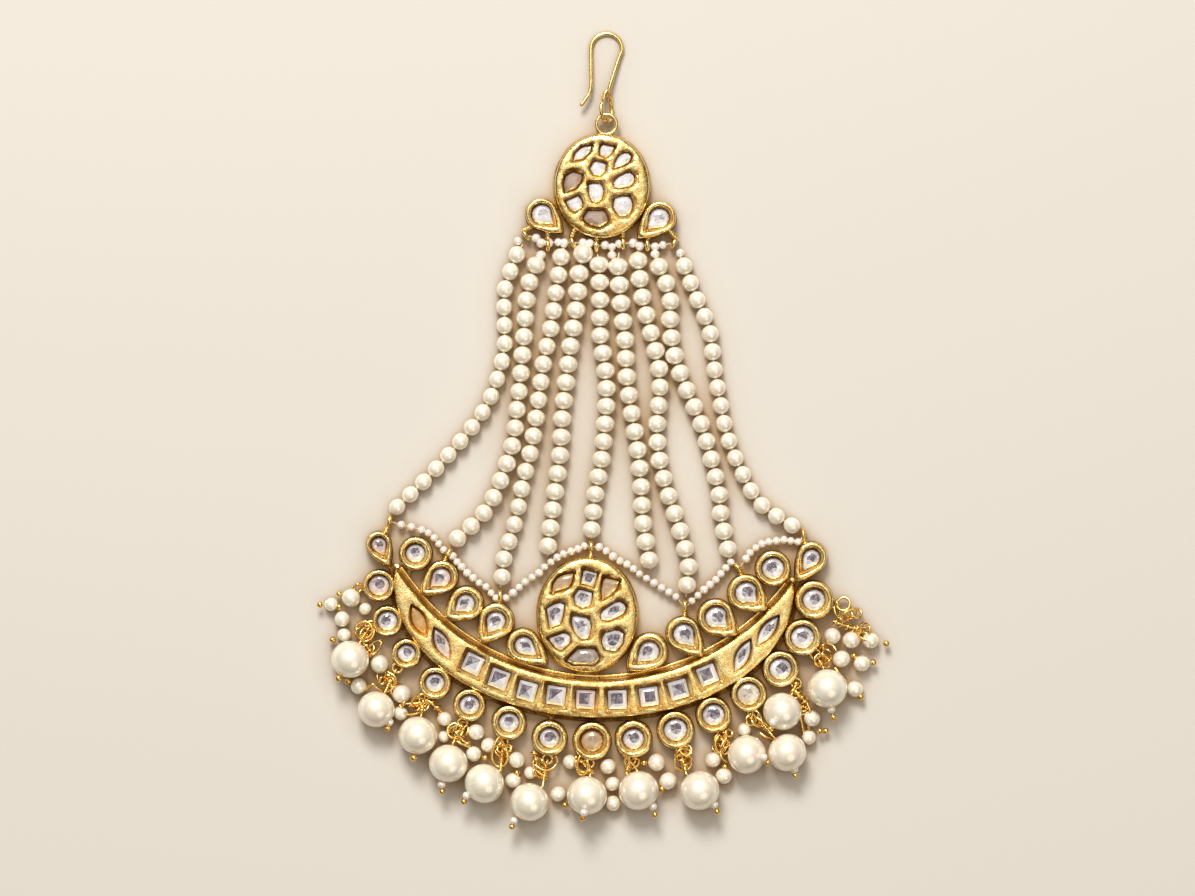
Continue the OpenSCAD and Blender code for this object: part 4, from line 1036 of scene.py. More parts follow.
def pearl(name, body, blush, glow, cloud=120.0):
    """Nacre under a clear skin, with a soft glow round its edge."""
    made, n, shader = new_material(name, metallic=0.22)
    out = n.use(NACRE, Body=body, Blush=blush, Cloud=cloud)
    n.join(out["Colour"], shader.inputs["Base Color"])
    n.join(out["Roughness"], shader.inputs["Roughness"])
    for label, value in (("Coat Weight", 1.0), ("Coat Roughness", 0.08), ("Coat IOR", 1.8),
                         ("Sheen Weight", 0.40), ("Sheen Roughness", 0.35), ("Sheen Tint", glow),
                         ("Subsurface Weight", 0.3),
                         ("Subsurface Radius", (0.0014, 0.0010, 0.0006))):
        shader.inputs[label].default_value = value
    bumped(n, shader, out["Height"], 0.05, 0.00005)
    return made


def foiled_stone():
    """Clear cut stone over foil, with painted reflections: facets a little lighter or darker, and
    some of them painted dark.
    """
    made, n, shader = new_material("foiled_stone", metallic=0.25)
    spot = n.spot()
    foil = n.value_of("tint", True)
    flecks = n.noise(1500.0, 3.0, 0.7, spot)
    # painted reflection: each facet's foil a little lighter or darker
    light = n.span(n.value_of("facet"), 0.0, 1.0, 0.86, 1.10)
    foil = n.mix(1.0, foil, light, "MULTIPLY")
    foil = n.mix(1.0, foil, n.span(flecks, 0.3, 0.7, 0.90, 1.05), "MULTIPLY")
    uneven = n.span(flecks, 0.35, 0.62, 0.75, 1.15)
    # painted dark reflection: the faces' shade, made uneven, mixes in a dark colour
    dark_reflection_mask = n.math("MULTIPLY", n.span(n.value_of("shade"), 0.0, 0.8), uneven, True)
    n.join(n.mix(dark_reflection_mask, foil, (0.085, 0.055, 0.075, 1)), shader.inputs["Base Color"])
    n.join(n.span(flecks, 0.3, 0.7, 0.08, 0.2), shader.inputs["Roughness"])
    shader.inputs["Coat Weight"].default_value = 1.0
    shader.inputs["Coat Roughness"].default_value = 0.04
    return made


def spun_thread():
    """Pale thread with slanting bands of twist."""
    made, n, shader = new_material("spun_thread")
    twist = n.put("TexWave", wave_type="BANDS", bands_direction="DIAGONAL")
    twist.inputs["Scale"].default_value = 1500.0
    n.join(n.spot(), twist.inputs["Vector"])
    n.join(n.mix(twist.outputs["Fac"], (0.62, 0.50, 0.32, 1), (0.86, 0.76, 0.58, 1)),
           shader.inputs["Base Color"])
    n.join(n.span(twist.outputs["Fac"], 0, 1, 0.9, 0.7), shader.inputs["Roughness"])
    bumped(n, shader, twist.outputs["Fac"], 0.4, 0.00005)
    return made


SETTING_GILT = gold("setting_gilt", (1.0, 0.80, 0.37, 1), (1.0, 0.66, 0.22, 1),
                    (0.19, 0.085, 0.014, 1), 3000.0, 420.0, 0.85)
HOOK_GILT = gold("hook_gilt", (1.0, 0.76, 0.33, 1), (0.94, 0.62, 0.20, 1), (0.20, 0.10, 0.02, 1),
                 3000.0, 260.0, 0.12)
WIRE_GILT = gold("wire_gilt", (1.0, 0.73, 0.28, 1), (0.92, 0.55, 0.14, 1), (0.20, 0.09, 0.015, 1),
                 3000.0, 300.0, 0.12)
PEARL = pearl("pearl", (1.0, 0.935, 0.79, 1), (1.0, 0.895, 0.76, 1), (1.0, 0.88, 0.62, 1))
SEED_PEARL = pearl("seed_pearl", (1.0, 0.94, 0.87, 1), (1.0, 0.86, 0.78, 1), (1.0, 0.86, 0.74, 1),
                   300.0)
STONE = foiled_stone()
THREAD = spun_thread()


# Camera, floor and light

# Metres: how wide the photo is, the height of the jewel's face, and of the camera
VIEW_WIDE, FACE_Z, CAMERA_Z, SENSOR_MM = 0.239, 0.002, 1.2, 36.0
FLOOR_HALF, FLOOR_Z = 1.6, -0.00002
FLOOR_TONE, SHADED_TONE = (0.665, 0.635, 0.585, 1), (0.34, 0.19, 0.05, 1)


def make_camera():
    """Straight above, from far off, framed as in the photo."""
    lens = bpy.data.cameras.new("camera")
    lens.sensor_width = SENSOR_MM
    lens.lens = SENSOR_MM * (CAMERA_Z - FACE_Z) / VIEW_WIDE
    lens.clip_end = 20
    eye = bpy.data.objects.new("camera", lens)
    eye.location = (0.0001, 0.0502, CAMERA_Z)
    bpy.context.scene.collection.objects.link(eye)
    bpy.context.scene.camera = eye


def make_floor():
    """A pale floor with painted shade: warm brown where the jewel closes off its light."""
    mesh = bpy.data.meshes.new("floor")
    corners = [(x * FLOOR_HALF, y * FLOOR_HALF, 0) for x, y in ((-1, -1), (1, -1), (1, 1), (-1, 1))]
    mesh.from_pydata(corners, [], [(0, 1, 2, 3)])
    floor = bpy.data.objects.new("floor", mesh)
    floor.location = (0, 0, FLOOR_Z)
    bpy.context.scene.collection.objects.link(floor)
    made, n, shader = new_material("pale_floor_painted_shade", rough=0.6)
    # painted shade: where ambient occlusion finds the jewel near, the floor's colour turns brown
    near = n.put("AmbientOcclusion", samples=4)
    near.inputs["Distance"].default_value = 0.006
    n.join(n.mix(n.span(near.outputs["AO"], 0.28, 0.84), SHADED_TONE, FLOOR_TONE),
           shader.inputs["Base Color"])
    mesh.materials.append(made)


# The middle of the jewel, which the lights look at, and the brightest direction of the room
JEWEL_MIDDLE, BRIGHT_SIDE = (0, 0.045, 0), (-0.05, 0.42, 0.90)


def area_light(name, at, size, power, colour):
    lamp = bpy.data.lights.new(name, "AREA")
    lamp.shape, lamp.size, lamp.energy, lamp.color = "DISK", size, power, colour
    made = bpy.data.objects.new(name, lamp)
    made.location = at
    made.rotation_euler = (Vector(at) - Vector(JEWEL_MIDDLE)).to_track_quat("Z", "Y").to_euler()
    bpy.context.scene.collection.objects.link(made)


def make_light():
    """A window beyond the hook, a weak fill, and a room brightest overhead and by the window."""
    area_light("window", (-0.15, 0.80, 0.85), 0.44, 11.5, (1.0, 0.98, 0.94))
    area_light("fill", (0.45, -0.55, 0.8), 0.8, 1.8, (1.0, 0.90, 0.76))
    world = bpy.data.worlds.new("soft_room")
    world.use_nodes = True
    n = Nodes(world.node_tree)
    toward = n.put("VectorMath", operation="DOT_PRODUCT")
    n.join(n.put("TexCoord").outputs["Generated"], toward.inputs[0])
    toward.inputs[1].default_value = BRIGHT_SIDE
    glow = n.math("POWER", n.math("MAXIMUM", toward.outputs["Value"], 0.0), 5.0)
    back = world.node_tree.nodes["Background"]
    n.join(n.mix(n.span(glow, 0.0, 0.5), (1.0, 0.76, 0.48, 1), (1.0, 0.98, 0.95, 1)),
           back.inputs["Color"])
    n.join(n.math("ADD", n.math("MULTIPLY", glow, 1.65), 0.10), back.inputs["Strength"])
    bpy.context.scene.world = world
    bpy.context.scene.view_settings.view_transform = "Standard"


# The pieces

# The least gold between two pockets and beside the rim, and the most that a mouth is opened
GOLD_BETWEEN, GOLD_AT_RIM, MOST_OPENED = 0.85, 1.5, 0.38
# How far a pocket of the crescent flares, and its lean upwards
SQUARE_FLARE, LEAF_FLARE, FLARE_LEAN = 0.80, 0.60, 0.06


def medallion_rim(medallion):
    return oval(*medallion[1], 160) + np.array(medallion[0])


def medallion_pockets(medallion):
    """Mouth and stone outline of each pocket, opened until the least gold is left between them."""
    at, _, _, mouths = medallion
    pairs = []
    for mouth in mouths:
        ring = soften(resample(np.array(mouth) + np.array(at), POCKET_CORNERS), 1)
        seat = soften(resample(grown(soften(ring, 3), -STONE_INSET), POCKET_CORNERS), 2)
        pairs.append((grown(ring, 0.2), seat - np.array([0, STONE_LEAN])))
    rim = medallion_rim(medallion)
    opened = []
    for k, (mouth, seat) in enumerate(pairs):
        others = [distance_to(mouth, other) for j, (other, _) in enumerate(pairs) if j != k]
        room = np.minimum((np.min(others, axis=0) - GOLD_BETWEEN) / 2,
                          distance_to(mouth, rim) - GOLD_AT_RIM)
        opened.append((grown(mouth, soften(np.clip(room, 0, MOST_OPENED), 5)), seat))
    return opened


def add_medallion(shape, medallion, crown, rough, seed):
    at, reach = medallion[:2]
    add_plate(shape, medallion_rim(medallion), medallion_pockets(medallion), MEDALLION_H - 0.05,
              crown=crown, middle=at, reach=reach, rough=rough, seed=seed)


def crescent_pocket(cell):
    flare = SQUARE_FLARE if cell[0] == "square" else LEAF_FLARE
    return (resample(cell_outline(cell, -flare), POCKET_CORNERS) + np.array([0, FLARE_LEAN]),
            soften(resample(cell_outline(cell), POCKET_CORNERS), 1))


def make_settings():
    top = Shape()
    add_medallion(top, TOP_MEDALLION, 0.35, 0.10, 3.0)
    for k, row in enumerate(TOP_PEARS):
        add_setting(top, row, 40.0 + k)
    for eye in TOP_EYES:
        add_thread_eye(top, eye)
    add_wire_ring(top, BAIL_AT, UP, BAIL_R, BAIL_WIRE / 2, 40)
    top.piece("top_setting_metal", SETTING_GILT, "setting_gilt", stands_for=("top_setting",))

    low = Shape()
    rail = crescent_contour()
    hub = turned(np.array([[0, CRESCENT_IN_Y]]), CRESCENT_TURN, (CRESCENT_X, 0))[0]
    # how far each corner belongs to the upper edge, whose foot is wider; the foot of the lower edge
    # is painted dark with the shade under the crescent
    upper = soften((np.linalg.norm(rail - hub, axis=1) < CRESCENT_IN_R + 0.35).astype(float), 6)
    add_plate(low, rail, [crescent_pocket(c) for c in CRESCENT_CELLS], CRESCENT_H - 0.02, rim=0.35,
              spacing=0.5, rough=0.05, seed=11.0,
              foot_out=0.85 + 0.2 * upper, foot_tarnish_shade=0.95 - 0.75 * upper)
    # fine wire along the upper edge of the foot, which the pears stand on
    edge = grown(rail, 0.9)[upper > 0.9]
    low.tube(with_z(edge[np.argsort(edge[:, 0])][::2], 0.7), 0.28, 7, 0.3)
    add_medallion(low, CENTRE_MEDALLION, 0.30, 0.08, 5.0)
    middle = CENTRE_MEDALLION[0][0]
    add_tab(low, (middle, 1.0), (middle, 9.0), 5.0, 0.9)
    for k, row in enumerate(UPPER_ROW + LOWER_ROW):
        add_setting(low, row, 60.0 + k)
    for eye in LOW_EYES:
        add_thread_eye(low, eye)
    for row in DROPS:
        add_wire_ring(low, (row[3], row[4], DROP_EYE_Z), UP, DROP_EYE_R, PIN_D / 2, 22)
    low.piece("lower_setting_metal", SETTING_GILT, "setting_gilt", stands_for=("lower_setting",))


def medallion_stones(medallion, dark_reflection_share):
    at, _, cells, _ = medallion
    seats = [seat for _, seat in medallion_pockets(medallion)]
    return [(cell, MEDALLION_H, dark_reflection_share, seat) for cell, seat in zip(placed(cells, at), seats)]


def make_stones():
    """Each group's stones: cell, height of the metal's top, share of painted dark reflection, own
    outline.
    """
    chance = random.Random(7)
    groups = [
        ("top_stones", medallion_stones(TOP_MEDALLION, 0.25)
         + [(row_cell(row), SETTING_H, 0.5, None) for row in TOP_PEARS]),
        ("crescent_stones", [(cell, CRESCENT_H, 1.0, None) for cell in CRESCENT_CELLS]),
        ("medallion_stones", medallion_stones(CENTRE_MEDALLION, 1.05)),
        ("upper_row_stones", [(row_cell(row), SETTING_H, 1.05, None) for row in UPPER_ROW]),
        ("lower_row_stones", [(row_cell(row), SETTING_H, 1.25, None) for row in LOWER_ROW]),
    ]
    for name, stones in groups:
        shape = Shape()
        for cell, top_z, dark_reflection_share, seat in stones:
            add_stone(shape, cell, top_z, chance, dark_reflection_share, seat)
        piece = shape.piece(name + "_cut", STONE, "foiled_stone", stands_for=(name,))
        give_facets(piece, len(name))


# The least share of its full size that a pearl has, how much slimmer a string's last pearl is
# than its first, and how far to either side of a pearl its string's direction is taken
LEAST_PEARL, SLIMMER, WAY_REACH = 0.965, 0.06, 0.8
THREAD_R, SEED_THREAD_R = 0.15, 0.12


def string_spots(row):
    """Where each pearl of a string lies and its direction, and the room that it has."""
    count, _, route, _ = row
    path = smooth_path(route)
    runs = running_length(path)
    pitch = runs[-1] / (count - 1)

    def at(s):
        return np.array([np.interp(s, runs, path[:, k]) for k in (0, 1)])
    spots = []
    for i in range(count):
        s = i * pitch
        a, b = at(max(s - WAY_REACH, 0)), at(min(s + WAY_REACH, runs[-1]))
        spots.append((at(s), unit(b - a)))
    return spots, pitch


def make_strings():
    chance = random.Random(21)
    for k, row in enumerate(STRINGS, 1):
        spots, pitch = string_spots(row)
        beads = []
        for i, (place, way) in enumerate(spots):
            long = (pitch - PEARL_GAP) / 2 * chance.uniform(LEAST_PEARL, 1.0)
            wide = PEARL_W / 2 * FULLNESS[k - 1] * chance.uniform(LEAST_PEARL, 1.0)
            wide *= 1.0 - SLIMMER * i / len(spots)
            beads.append(((place[0], place[1], wide), (wide, wide, long),
                          (way[0], way[1], chance.uniform(-0.1, 0.1))))
        if k == 4:
            x, y, r = FIRST_BIG
            beads.append(((x, y, r), (r, r, r - 0.05), (0.2, 0.98, 0)))
        bead_piece("string_pearls_%d" % k, beads, PEARL, STRING_BEAD,
                   stands_for=("strand_%d" % k,))
        path = smooth_path([row[1]] + list(row[2]) + [row[3]], 6)
        thread = Shape()
        thread.tube(with_z(path, PEARL_W / 2), THREAD_R, 6)
        thread.piece("string_thread_%d" % k, THREAD, "thread", stands_for=("thread_%d" % k,))


# Seed pearls in photo pixels. The first 14 upper ones lie on the upper thread
UPPER_SEEDS = [
    (536, 238), (541, 243), (549, 243), (558, 242), (564, 243), (583, 243), (590, 243), (605, 245),
    (612, 247), (619, 244), (633, 243), (640, 246), (655, 246.5), (663, 245), (518, 241),
    (541, 255), (612, 255), (655, 254), (680, 253),
]
LOWER_SEEDS = [
    (401, 525), (411, 527), (421.5, 530), (428, 533), (434, 538), (438.5, 544), (443.5, 550),
    (452.5, 556), (457, 562), (461.5, 567), (467, 573), (473, 578), (479, 583), (486, 587),
    (491, 593), (496, 598), (506, 598), (513, 593), (519, 587.5), (525, 582), (532, 577.5),
    (539, 573), (544.5, 567), (551, 562), (557, 557.5), (563.5, 554), (571, 551.5), (578, 549),
    (584.5, 546), (599, 547), (606, 551), (613, 556.5), (620, 561), (627, 564.5), (633.5, 569),
    (639.5, 574), (646.5, 578.5), (654, 583), (661.5, 588), (669, 592.5), (676, 597), (692, 601),
    (698, 595.5), (704, 590), (710, 585), (716, 580), (721, 574), (726, 568), (731, 562),
    (746, 559), (750, 553), (756, 548), (762, 544), (769, 542), (776.5, 541), (784, 540),
    (791, 541), (798, 542),
]


# A seed pearl's radius, how much larger the upper ones are, and half its length against its radius
SEED_R, UPPER_LARGER, SEED_LONG = (0.80, 0.95), 1.12, 0.88


def make_seeds():
    chance = random.Random(5)
    for name, spots, eyes, node in (
            ("upper_seed_pearls", UPPER_SEEDS, TOP_EYES, "upper_seed_rows"),
            ("lower_seed_pearls", LOWER_SEEDS, LOW_EYES, "lower_seed_rows")):
        beads = []
        for px, py in spots:
            x, y = from_photo(px, py)
            r = chance.uniform(*SEED_R) * (UPPER_LARGER if spots is UPPER_SEEDS else 1.0)
            near = sorted(spots, key=lambda q: math.dist(q, (px, py)))[1]
            way = unit(np.array([near[0] - px, py - near[1]], float))
            z = EYE_Z + chance.uniform(-0.12, 0.12)
            beads.append(((x, y, z), (r, r, r * SEED_LONG), (way[0], way[1], 0)))
        bead_piece(name, beads, SEED_PEARL, SEED_BEAD, stands_for=(node,))
        line = Shape()
        on_thread = spots[:14] if spots is UPPER_SEEDS else spots
        row = sorted([from_photo(*p) for p in on_thread] + [(e[0], e[1]) for e in eyes])
        line.tube(with_z(smooth_path(row, 4), EYE_Z), SEED_THREAD_R, 5)
        line.piece(name + "_thread", THREAD, "thread")


# Drops that end in a seed pearl and a gold ball: where the photo shows the two, in its pixels
DROP_ENDS = {
    2: ((390, 722), (388, 728)), 4: ((442, 784), (442.5, 791)), 5: ((466.5, 795), (464, 801)),
    6: ((514, 820), (512, 826)), 7: ((584, 811), (583, 817)), 8: ((653, 806), (655, 814)),
    9: ((714, 804), (717, 811)), 10: ((763, 756), (767, 762)), 11: ((794, 769), (795, 775)),
    12: ((772, 721), (770, 728)), 13: ((831, 709), (833, 717)),
}
END_SEED_R, END_BALL_R, END_WIRE_R = 0.85, 0.64, 0.2
# How far the pin's neck and ball are from the pearl, half the thickness of its loop and shank
NECK_OUT, BALL_OUT, LOOP_WIRE, SHANK_R = 0.35, 0.7, 0.25, 0.27
# The wraps round the shank: the way from one to the next, their radius, half the wire's thickness
WRAP_STEP, WRAP_RADIUS, WRAP_WIRE = 0.42, 0.46, 0.19
DROP_NUMBERS = range(1, len(DROPS) + 1)


def make_drops():
    """Large pearls on lying pins with their loops, wraps and ends, and the small pearls between."""
    chance = random.Random(9)
    pearls = []
    pins, seeds = Shape(), []
    for k, (x, y, r, ex, ey, turn) in enumerate(DROPS, 1):
        lift, head = math.radians(PIN_LIFT), math.radians(turn)
        flat = np.array([math.cos(head), math.sin(head), 0.0])
        way = flat * math.cos(lift) + UP * math.sin(lift)
        centre = np.array([x, y, r])
        pearls.append((tuple(centre), (r, r, r * 0.97), tuple(way)))
        neck, far = centre - way * (r + NECK_OUT), centre + way * (r + BALL_OUT)
        flat = unit(np.array([neck[0] - ex, neck[1] - ey, 0]))
        side = np.array([-flat[1], flat[0], 0])
        # the loop hangs in the far side of its eye
        loop_at = np.array([ex, ey, DROP_EYE_Z]) + flat * DROP_EYE_R
        u = unit(neck - loop_at)
        add_wire_ring(pins, loop_at, side, LOOP_R, LOOP_WIRE, 20)
        pins.tube([loop_at + u * LOOP_R, neck - u * 0.1, neck, neck + way * 0.4], SHANK_R, 8)
        gap = np.linalg.norm(neck - loop_at) - LOOP_R
        for wrap in range(max(2, min(6, int(gap / 0.5)))):
            at = loop_at + u * (LOOP_R + LOOP_WIRE + WRAP_STEP * wrap)
            add_wire_ring(pins, at, u + 0.15 * side, WRAP_RADIUS, WRAP_WIRE, 14)
        if k in DROP_ENDS:
            seed_px, ball_px = DROP_ENDS[k]
            sx, sy = from_photo(*seed_px)
            bx, by = from_photo(*ball_px)
            out = unit(np.array([sx - x, sy - y, 0]))
            ball_z = seed_z = r + 0.25
            if math.dist((sx, sy), (x, y)) < r - 0.2:
                # this end leans over its pearl and rests on it
                seed_z = r + math.sqrt((r + END_SEED_R) ** 2 - math.dist((sx, sy), (x, y)) ** 2)
                reach = math.dist((bx, by), (x, y))
                ball_z = r + math.sqrt((r + END_BALL_R + 0.02) ** 2 - reach ** 2)
            seed_at, ball_at = np.array([sx, sy, seed_z]), np.array([bx, by, ball_z])
            edge = centre + unit(seed_at - centre) * r * 0.93
            seeds.append((tuple(seed_at), (END_SEED_R, END_SEED_R, 0.72), tuple(out)))
            pins.tube([edge, seed_at, ball_at], END_WIRE_R, 7)
            pins.ball(ball_at, END_BALL_R)
        else:
            pins.tube([far - way * 0.6, far], 0.28, 8)
            pins.ball(far, BALL_R)
    bead_piece("large_drop_pearls", pearls, PEARL, DROP_BEAD,
               stands_for=tuple("large_pearl_%d" % k for k in DROP_NUMBERS))
    pins.piece("drop_pins", WIRE_GILT, "wire_gilt",
               stands_for=tuple("drop_stem_%d" % k for k in DROP_NUMBERS))
    bead_piece("drop_end_seeds", seeds, SEED_PEARL, END_BEAD)
    for name, rows in SMALL.items():
        beads = [((x, y, r), (r, r, r * 0.95), (chance.uniform(-1, 1), chance.uniform(-1, 1), 0.1))
                 for x, y, r in rows]
        bead_piece(name + "_round", beads, PEARL, SMALL_BEAD, stands_for=(name,))
    more = [(from_photo(px, py) + (pr / PX,), (pr / PX, pr / PX, pr / PX * 0.95), (1, 0.3, 0))
            for px, py, pr in EXTRA_SMALL]
    bead_piece("small_pearls_more", more, PEARL, SMALL_BEAD)


# The ring that the hook swings on, and the hook's wire: its eye, twist, bight, leg and slope
BAIL_AT, BAIL_R, BAIL_WIRE = (1.9, 114.9, 2.3), 2.0, 0.84
HOOK_AT, HOOK_WIRE, HOOK_TWIST, HOOK_SLOPE = (1.9, 116.9, 2.3), 0.8, 55, -6.5
HOOK_EYE = [
    (0.1, 4.9), (-0.55, 3.9), (-1.45, 2.4), (-1.9, 0.9), (-1.55, -0.55), (-0.75, -1.18),
    (0.75, -1.18), (1.55, -0.55), (1.9, 0.9), (1.5, 2.3), (0.75, 3.7), (0.5, 4.9), (0.85, 6.3),
]
BIGHT_R, BIGHT_Y = 3.1, 13.3
HOOK_LEG = [(-3.1, 9.0), (-3.1, 6.4), (-3.4, 4.4), (-4.1, 3.2), (-5.0, 1.95)]


def make_hook():
    """One wire: the teardrop eye in the ring, a slanting shank, the bight, the leg and its tip."""
    path = []
    for k, (x, y) in enumerate(HOOK_EYE):
        # the eye stands across the ring, and untwists into the plane of the shank
        part = math.radians(HOOK_TWIST) * min(1.0, max(0.0, (5.2 - y) / 2.6))
        apart = 0.0 if y < 3.6 else (-0.38 if k < 3 else 0.38 * 0.4)
        path.append((x * math.cos(part), y, -x * math.sin(part) + apart))
    path.append((2.4, 11.2, 0.0))
    for k in range(8):
        t = math.radians(-8 + k * (188 / 7))
        path.append((BIGHT_R * math.cos(t), BIGHT_Y + BIGHT_R * math.sin(t), 0.0))
    path += [(x, y, 0.0) for x, y in HOOK_LEG]
    slope = math.radians(HOOK_SLOPE)
    c, s = math.cos(slope), math.sin(slope)
    at = np.array(HOOK_AT)
    wire = Shape()
    swung = [at + (x, y * c - z * s, y * s + z * c) for x, y, z in path]
    wire.tube(smooth_path(swung, 7), HOOK_WIRE / 2, 12)
    wire.piece("hair_hook_wire", HOOK_GILT, "hook_gilt", body="hook", stands_for=("hair_hook",))


# Loose wires between the drops. Rings: photo x, y, radius in pixels, height, tilt
RINGS = [
    (363.8, 630, 10, 1.9, 12), (455, 731, 9, 2.0, 15), (508, 748, 5, 2.4, 30),
    (683, 762, 10, 2.0, 10), (686, 750, 7, 2.6, 20), (729, 733, 5, 2.2, 30),
    (843.5, 604, 8, 1.9, 15), (856.5, 613, 6.5, 2.3, 30), (859, 631, 4, 1.7, 40),
    (358, 588, 5.5, 1.6, 30), (391, 682, 6, 2.2, 40), (537, 772, 5.5, 2.2, 35),
]
# Wires: their photo points, then their height
WIRES = [
    ([(388, 672), (396, 678), (393, 688), (385, 692), (378, 688), (372, 684), (366, 690)], 2.3),
    ([(400, 705), (404, 713), (415, 714), (424, 709), (427, 700)], 2.2),
    ([(427, 700), (433, 704), (437, 709), (442, 712)], 2.0),
    ([(455, 740), (462, 744), (472, 748)], 2.1),
    ([(499, 737), (494, 746), (492, 757), (497, 766), (504, 765), (508, 757), (505, 746),
      (499, 737)], 2.6),
    ([(485, 750), (492, 747), (499, 745), (503, 741)], 2.2),
    ([(535, 765), (544, 770), (553, 768), (557, 762), (556, 757)], 2.4),
    ([(534, 767), (536, 774), (541, 778), (547, 779)], 2.0),
    ([(582, 753), (578, 760), (577, 769), (581, 775), (586, 772), (588, 763), (585, 756),
      (582, 753)], 2.7),
    ([(622, 752), (626, 758), (632, 763), (636, 769), (640, 775)], 2.2),
    ([(628, 752), (629, 760), (626, 768), (630, 774)], 2.5),
    ([(719, 735), (715, 743), (717, 750), (722, 748), (723, 740), (719, 735)], 2.4),
    ([(725, 739), (721, 747), (724, 754), (729, 751), (729, 743), (725, 739)], 2.8),
    ([(720, 752), (722, 758), (727, 762)], 2.2),
    ([(750, 714), (746, 719), (749, 725), (755, 723), (755, 716), (750, 714)], 2.2),
    ([(757, 718), (762, 721), (766, 724), (768, 727)], 2.4),
    ([(760, 733), (766, 737), (772, 738), (775, 740)], 2.2),
    ([(795, 690), (799, 696), (804, 700), (808, 705)], 2.4),
    ([(802, 705), (800, 715), (803, 728), (805, 740)], 2.0),
    ([(807, 703), (810, 712), (808, 722), (810, 733)], 2.3),
    ([(834, 607), (836, 615), (843, 620), (847, 619), (849, 615)], 2.0),
    ([(863, 632), (867, 634), (867, 639), (863, 640)], 1.7),
    ([(820, 648), (823, 645), (826, 643), (832, 645), (836, 650)], 2.1),
    ([(818, 654), (814, 660), (818, 666), (825, 664), (826, 657), (818, 654)], 2.3),
    ([(835, 668), (839, 673), (843, 677), (846, 680)], 2.0),
    ([(352, 590), (358, 584), (364, 590)], 1.8),
]
# Coils of wrapped wire: the photo points of their ends, height, number of turns
COILS = [
    ((361, 640), (373, 654), 1.9, 3), ((388, 674), (394, 691), 2.0, 3),
    ((402, 704), (425, 703), 2.1, 3), ((430, 702), (441, 711), 1.9, 2),
    ((460, 738), (471, 747), 2.0, 2), ((797, 692), (808, 705), 2.2, 3),
    ((834, 622), (859, 630), 1.9, 4), ((498, 730), (503, 741), 2.0, 2),
    ((684, 741), (687, 750), 2.0, 2), ((722, 727), (725, 736), 2.0, 2),
    ((534, 752), (537, 764), 2.0, 2), ((625.5, 750), (629, 759), 2.0, 2),
]
# Small gold balls: photo x, y, height
BALLS = [
    (320, 604.6, 2.2), (339, 607, 1.9), (339, 594, 1.9), (332.6, 639.7, 1.7), (348, 681.3, 2.0),
    (485, 758, 2.0), (517, 773, 2.2), (565, 805, 2.0), (576, 757.7, 1.8), (592, 772, 2.2),
    (617, 802, 1.9), (644, 763, 1.9), (662, 789, 2.0), (725, 767, 2.0), (820, 731, 2.2),
    (826, 731, 1.7), (854, 656, 1.8), (873.5, 662.5, 1.9), (861, 697, 1.9), (886.5, 643.5, 1.8),
    (837, 603, 1.6), (823, 648, 1.6), (796, 684, 2.0),
]
# Tangles of fine looped wire: photo x, y, number of loops
TANGLES = [
    (364, 631, 2), (385, 680, 2), (420, 703, 3), (459, 731, 3), (501, 749, 2), (542, 765, 2),
    (583, 764, 2), (630, 762, 2), (684, 756, 2), (722, 744, 3), (754, 719, 2), (804, 706, 2),
    (823, 657, 2), (846, 613, 2), (862, 632, 2), (399, 694, 2), (372, 648, 2),
]
# Half the thickness of a coil's core, its wrapping, a ring and a bent wire
CORE_R, WRAP_R, RING_R, BENT_R = 0.27, 0.24, 0.29, 0.28
# A loop of a tangle: half its length and width, its height, half the thickness of its wire
LOOP_LONG, LOOP_WIDE, LOOP_Z, LOOP_WIRE_R = (1.25, 2.0), (0.8, 1.3), (1.7, 2.7), (0.21, 0.25)


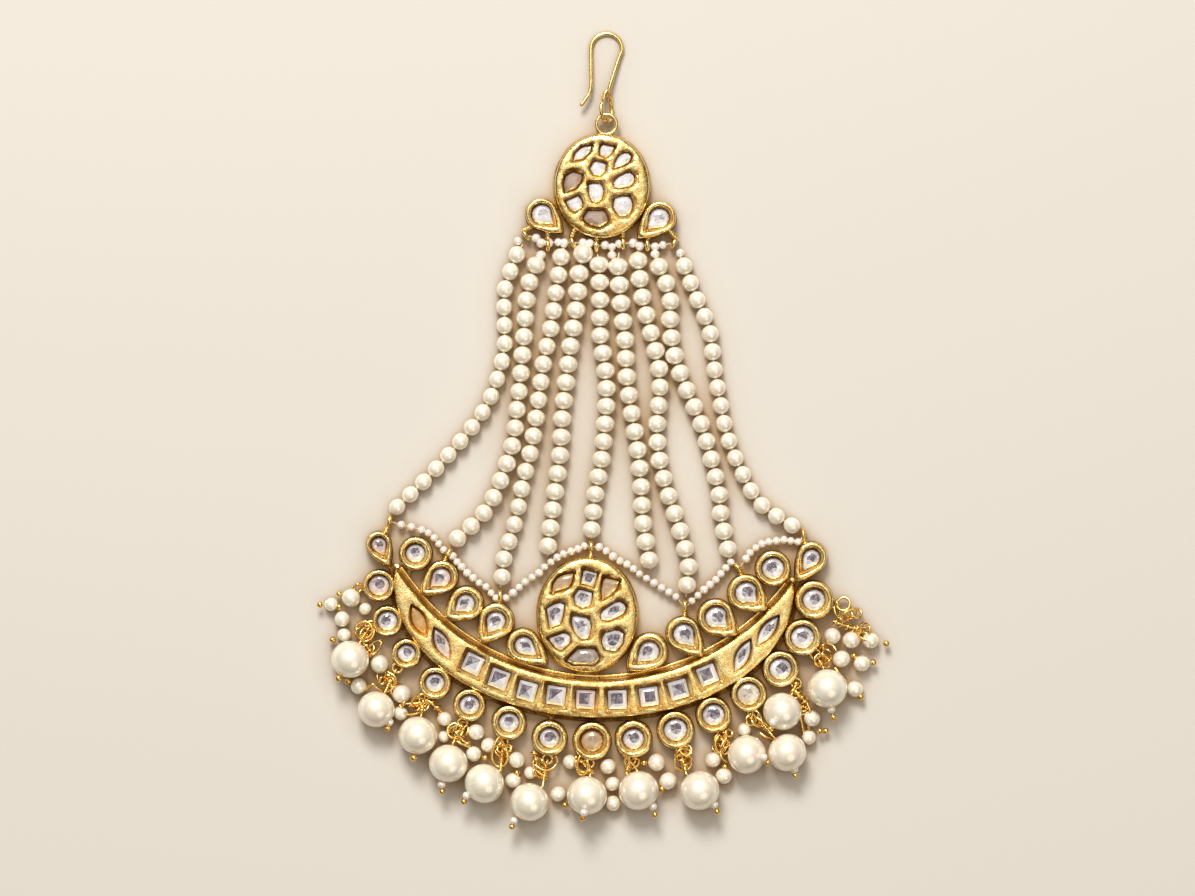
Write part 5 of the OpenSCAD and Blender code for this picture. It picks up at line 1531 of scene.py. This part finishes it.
def add_tangle(shape, spot, loops, chance):
    """A few bent oval loops of wire through each other."""
    for _ in range(loops):
        lean = Vector((chance.uniform(-0.8, 0.8), chance.uniform(-0.8, 0.8), 1.0)).normalized()
        lean = np.array(lean)
        side = unit(np.array([chance.uniform(-1, 1), chance.uniform(-1, 1), 0.1]))
        side = unit(np.cross(lean, side))
        over = np.cross(lean, side)
        long, wide = chance.uniform(*LOOP_LONG), chance.uniform(*LOOP_WIDE)
        at = np.array([spot[0] + chance.uniform(-0.8, 0.8), spot[1] + chance.uniform(-0.8, 0.8),
                       chance.uniform(*LOOP_Z)])
        t = round_steps(18)
        bend = 0.25 * np.sin(2 * t + chance.uniform(0, 6))
        path = at + long * np.outer(np.cos(t), side) + wide * np.outer(np.sin(t), over)
        path = path + np.outer(bend, UP)
        # no loop goes into the surface below
        path[:, 2] = np.maximum(path[:, 2], 0.3)
        shape.tube(path, chance.uniform(*LOOP_WIRE_R), 7, 0.2, closed=True)


def add_coil(shape, start, end, turns):
    """A straight wire with another wrapped round it, its turns a little uneven."""
    along = end - start
    side = np.cross(unit(along), UP)
    shape.tube([start, (start + end) / 2, end], CORE_R, 7)
    steps = turns * 12
    path = []
    for i in range(steps + 1):
        t = 2 * math.pi * i / 12 + 0.3
        swell = 0.62 + 0.1 * math.sin(i * 0.37)
        path.append(start + along * i / steps + swell * (math.cos(t) * side + math.sin(t) * UP))
    shape.tube(path, WRAP_R, 6)


def make_wires():
    """The loose wires of the fringe: tangles, rings, bent ends, coils and small gold balls."""
    chance = random.Random(33)
    wires = Shape()
    for px, py, loops in TANGLES:
        add_tangle(wires, from_photo(px, py), loops, chance)
    for px, py, pr, z, tilt in RINGS:
        x, y = from_photo(px, py)
        lean = math.radians(tilt)
        spin = chance.uniform(0, 2 * math.pi)
        axis = (math.sin(lean) * math.cos(spin), math.sin(lean) * math.sin(spin), math.cos(lean))
        add_wire_ring(wires, (x, y, z), axis, pr / PX - CORE_R, RING_R, 26)
    for points, z in WIRES:
        path = [from_photo(*p) + (z + 0.35 * math.sin(k * 1.7),) for k, p in enumerate(points)]
        wires.tube(smooth_path(path, 5), BENT_R, 7)
    for start, end, z, turns in COILS:
        start, end = (np.array(from_photo(*spot) + (z,)) for spot in (start, end))
        add_coil(wires, start, end, turns)
    for px, py, z in BALLS:
        x, y = from_photo(px, py)
        wires.ball((x, y, z), 0.66 * chance.uniform(0.92, 1.06))
    wires.piece("loose_wires", WIRE_GILT, "wire_gilt")


make_camera()
make_floor()
make_light()
make_settings()
make_stones()
make_strings()
make_seeds()
make_drops()
make_hook()
make_wires()
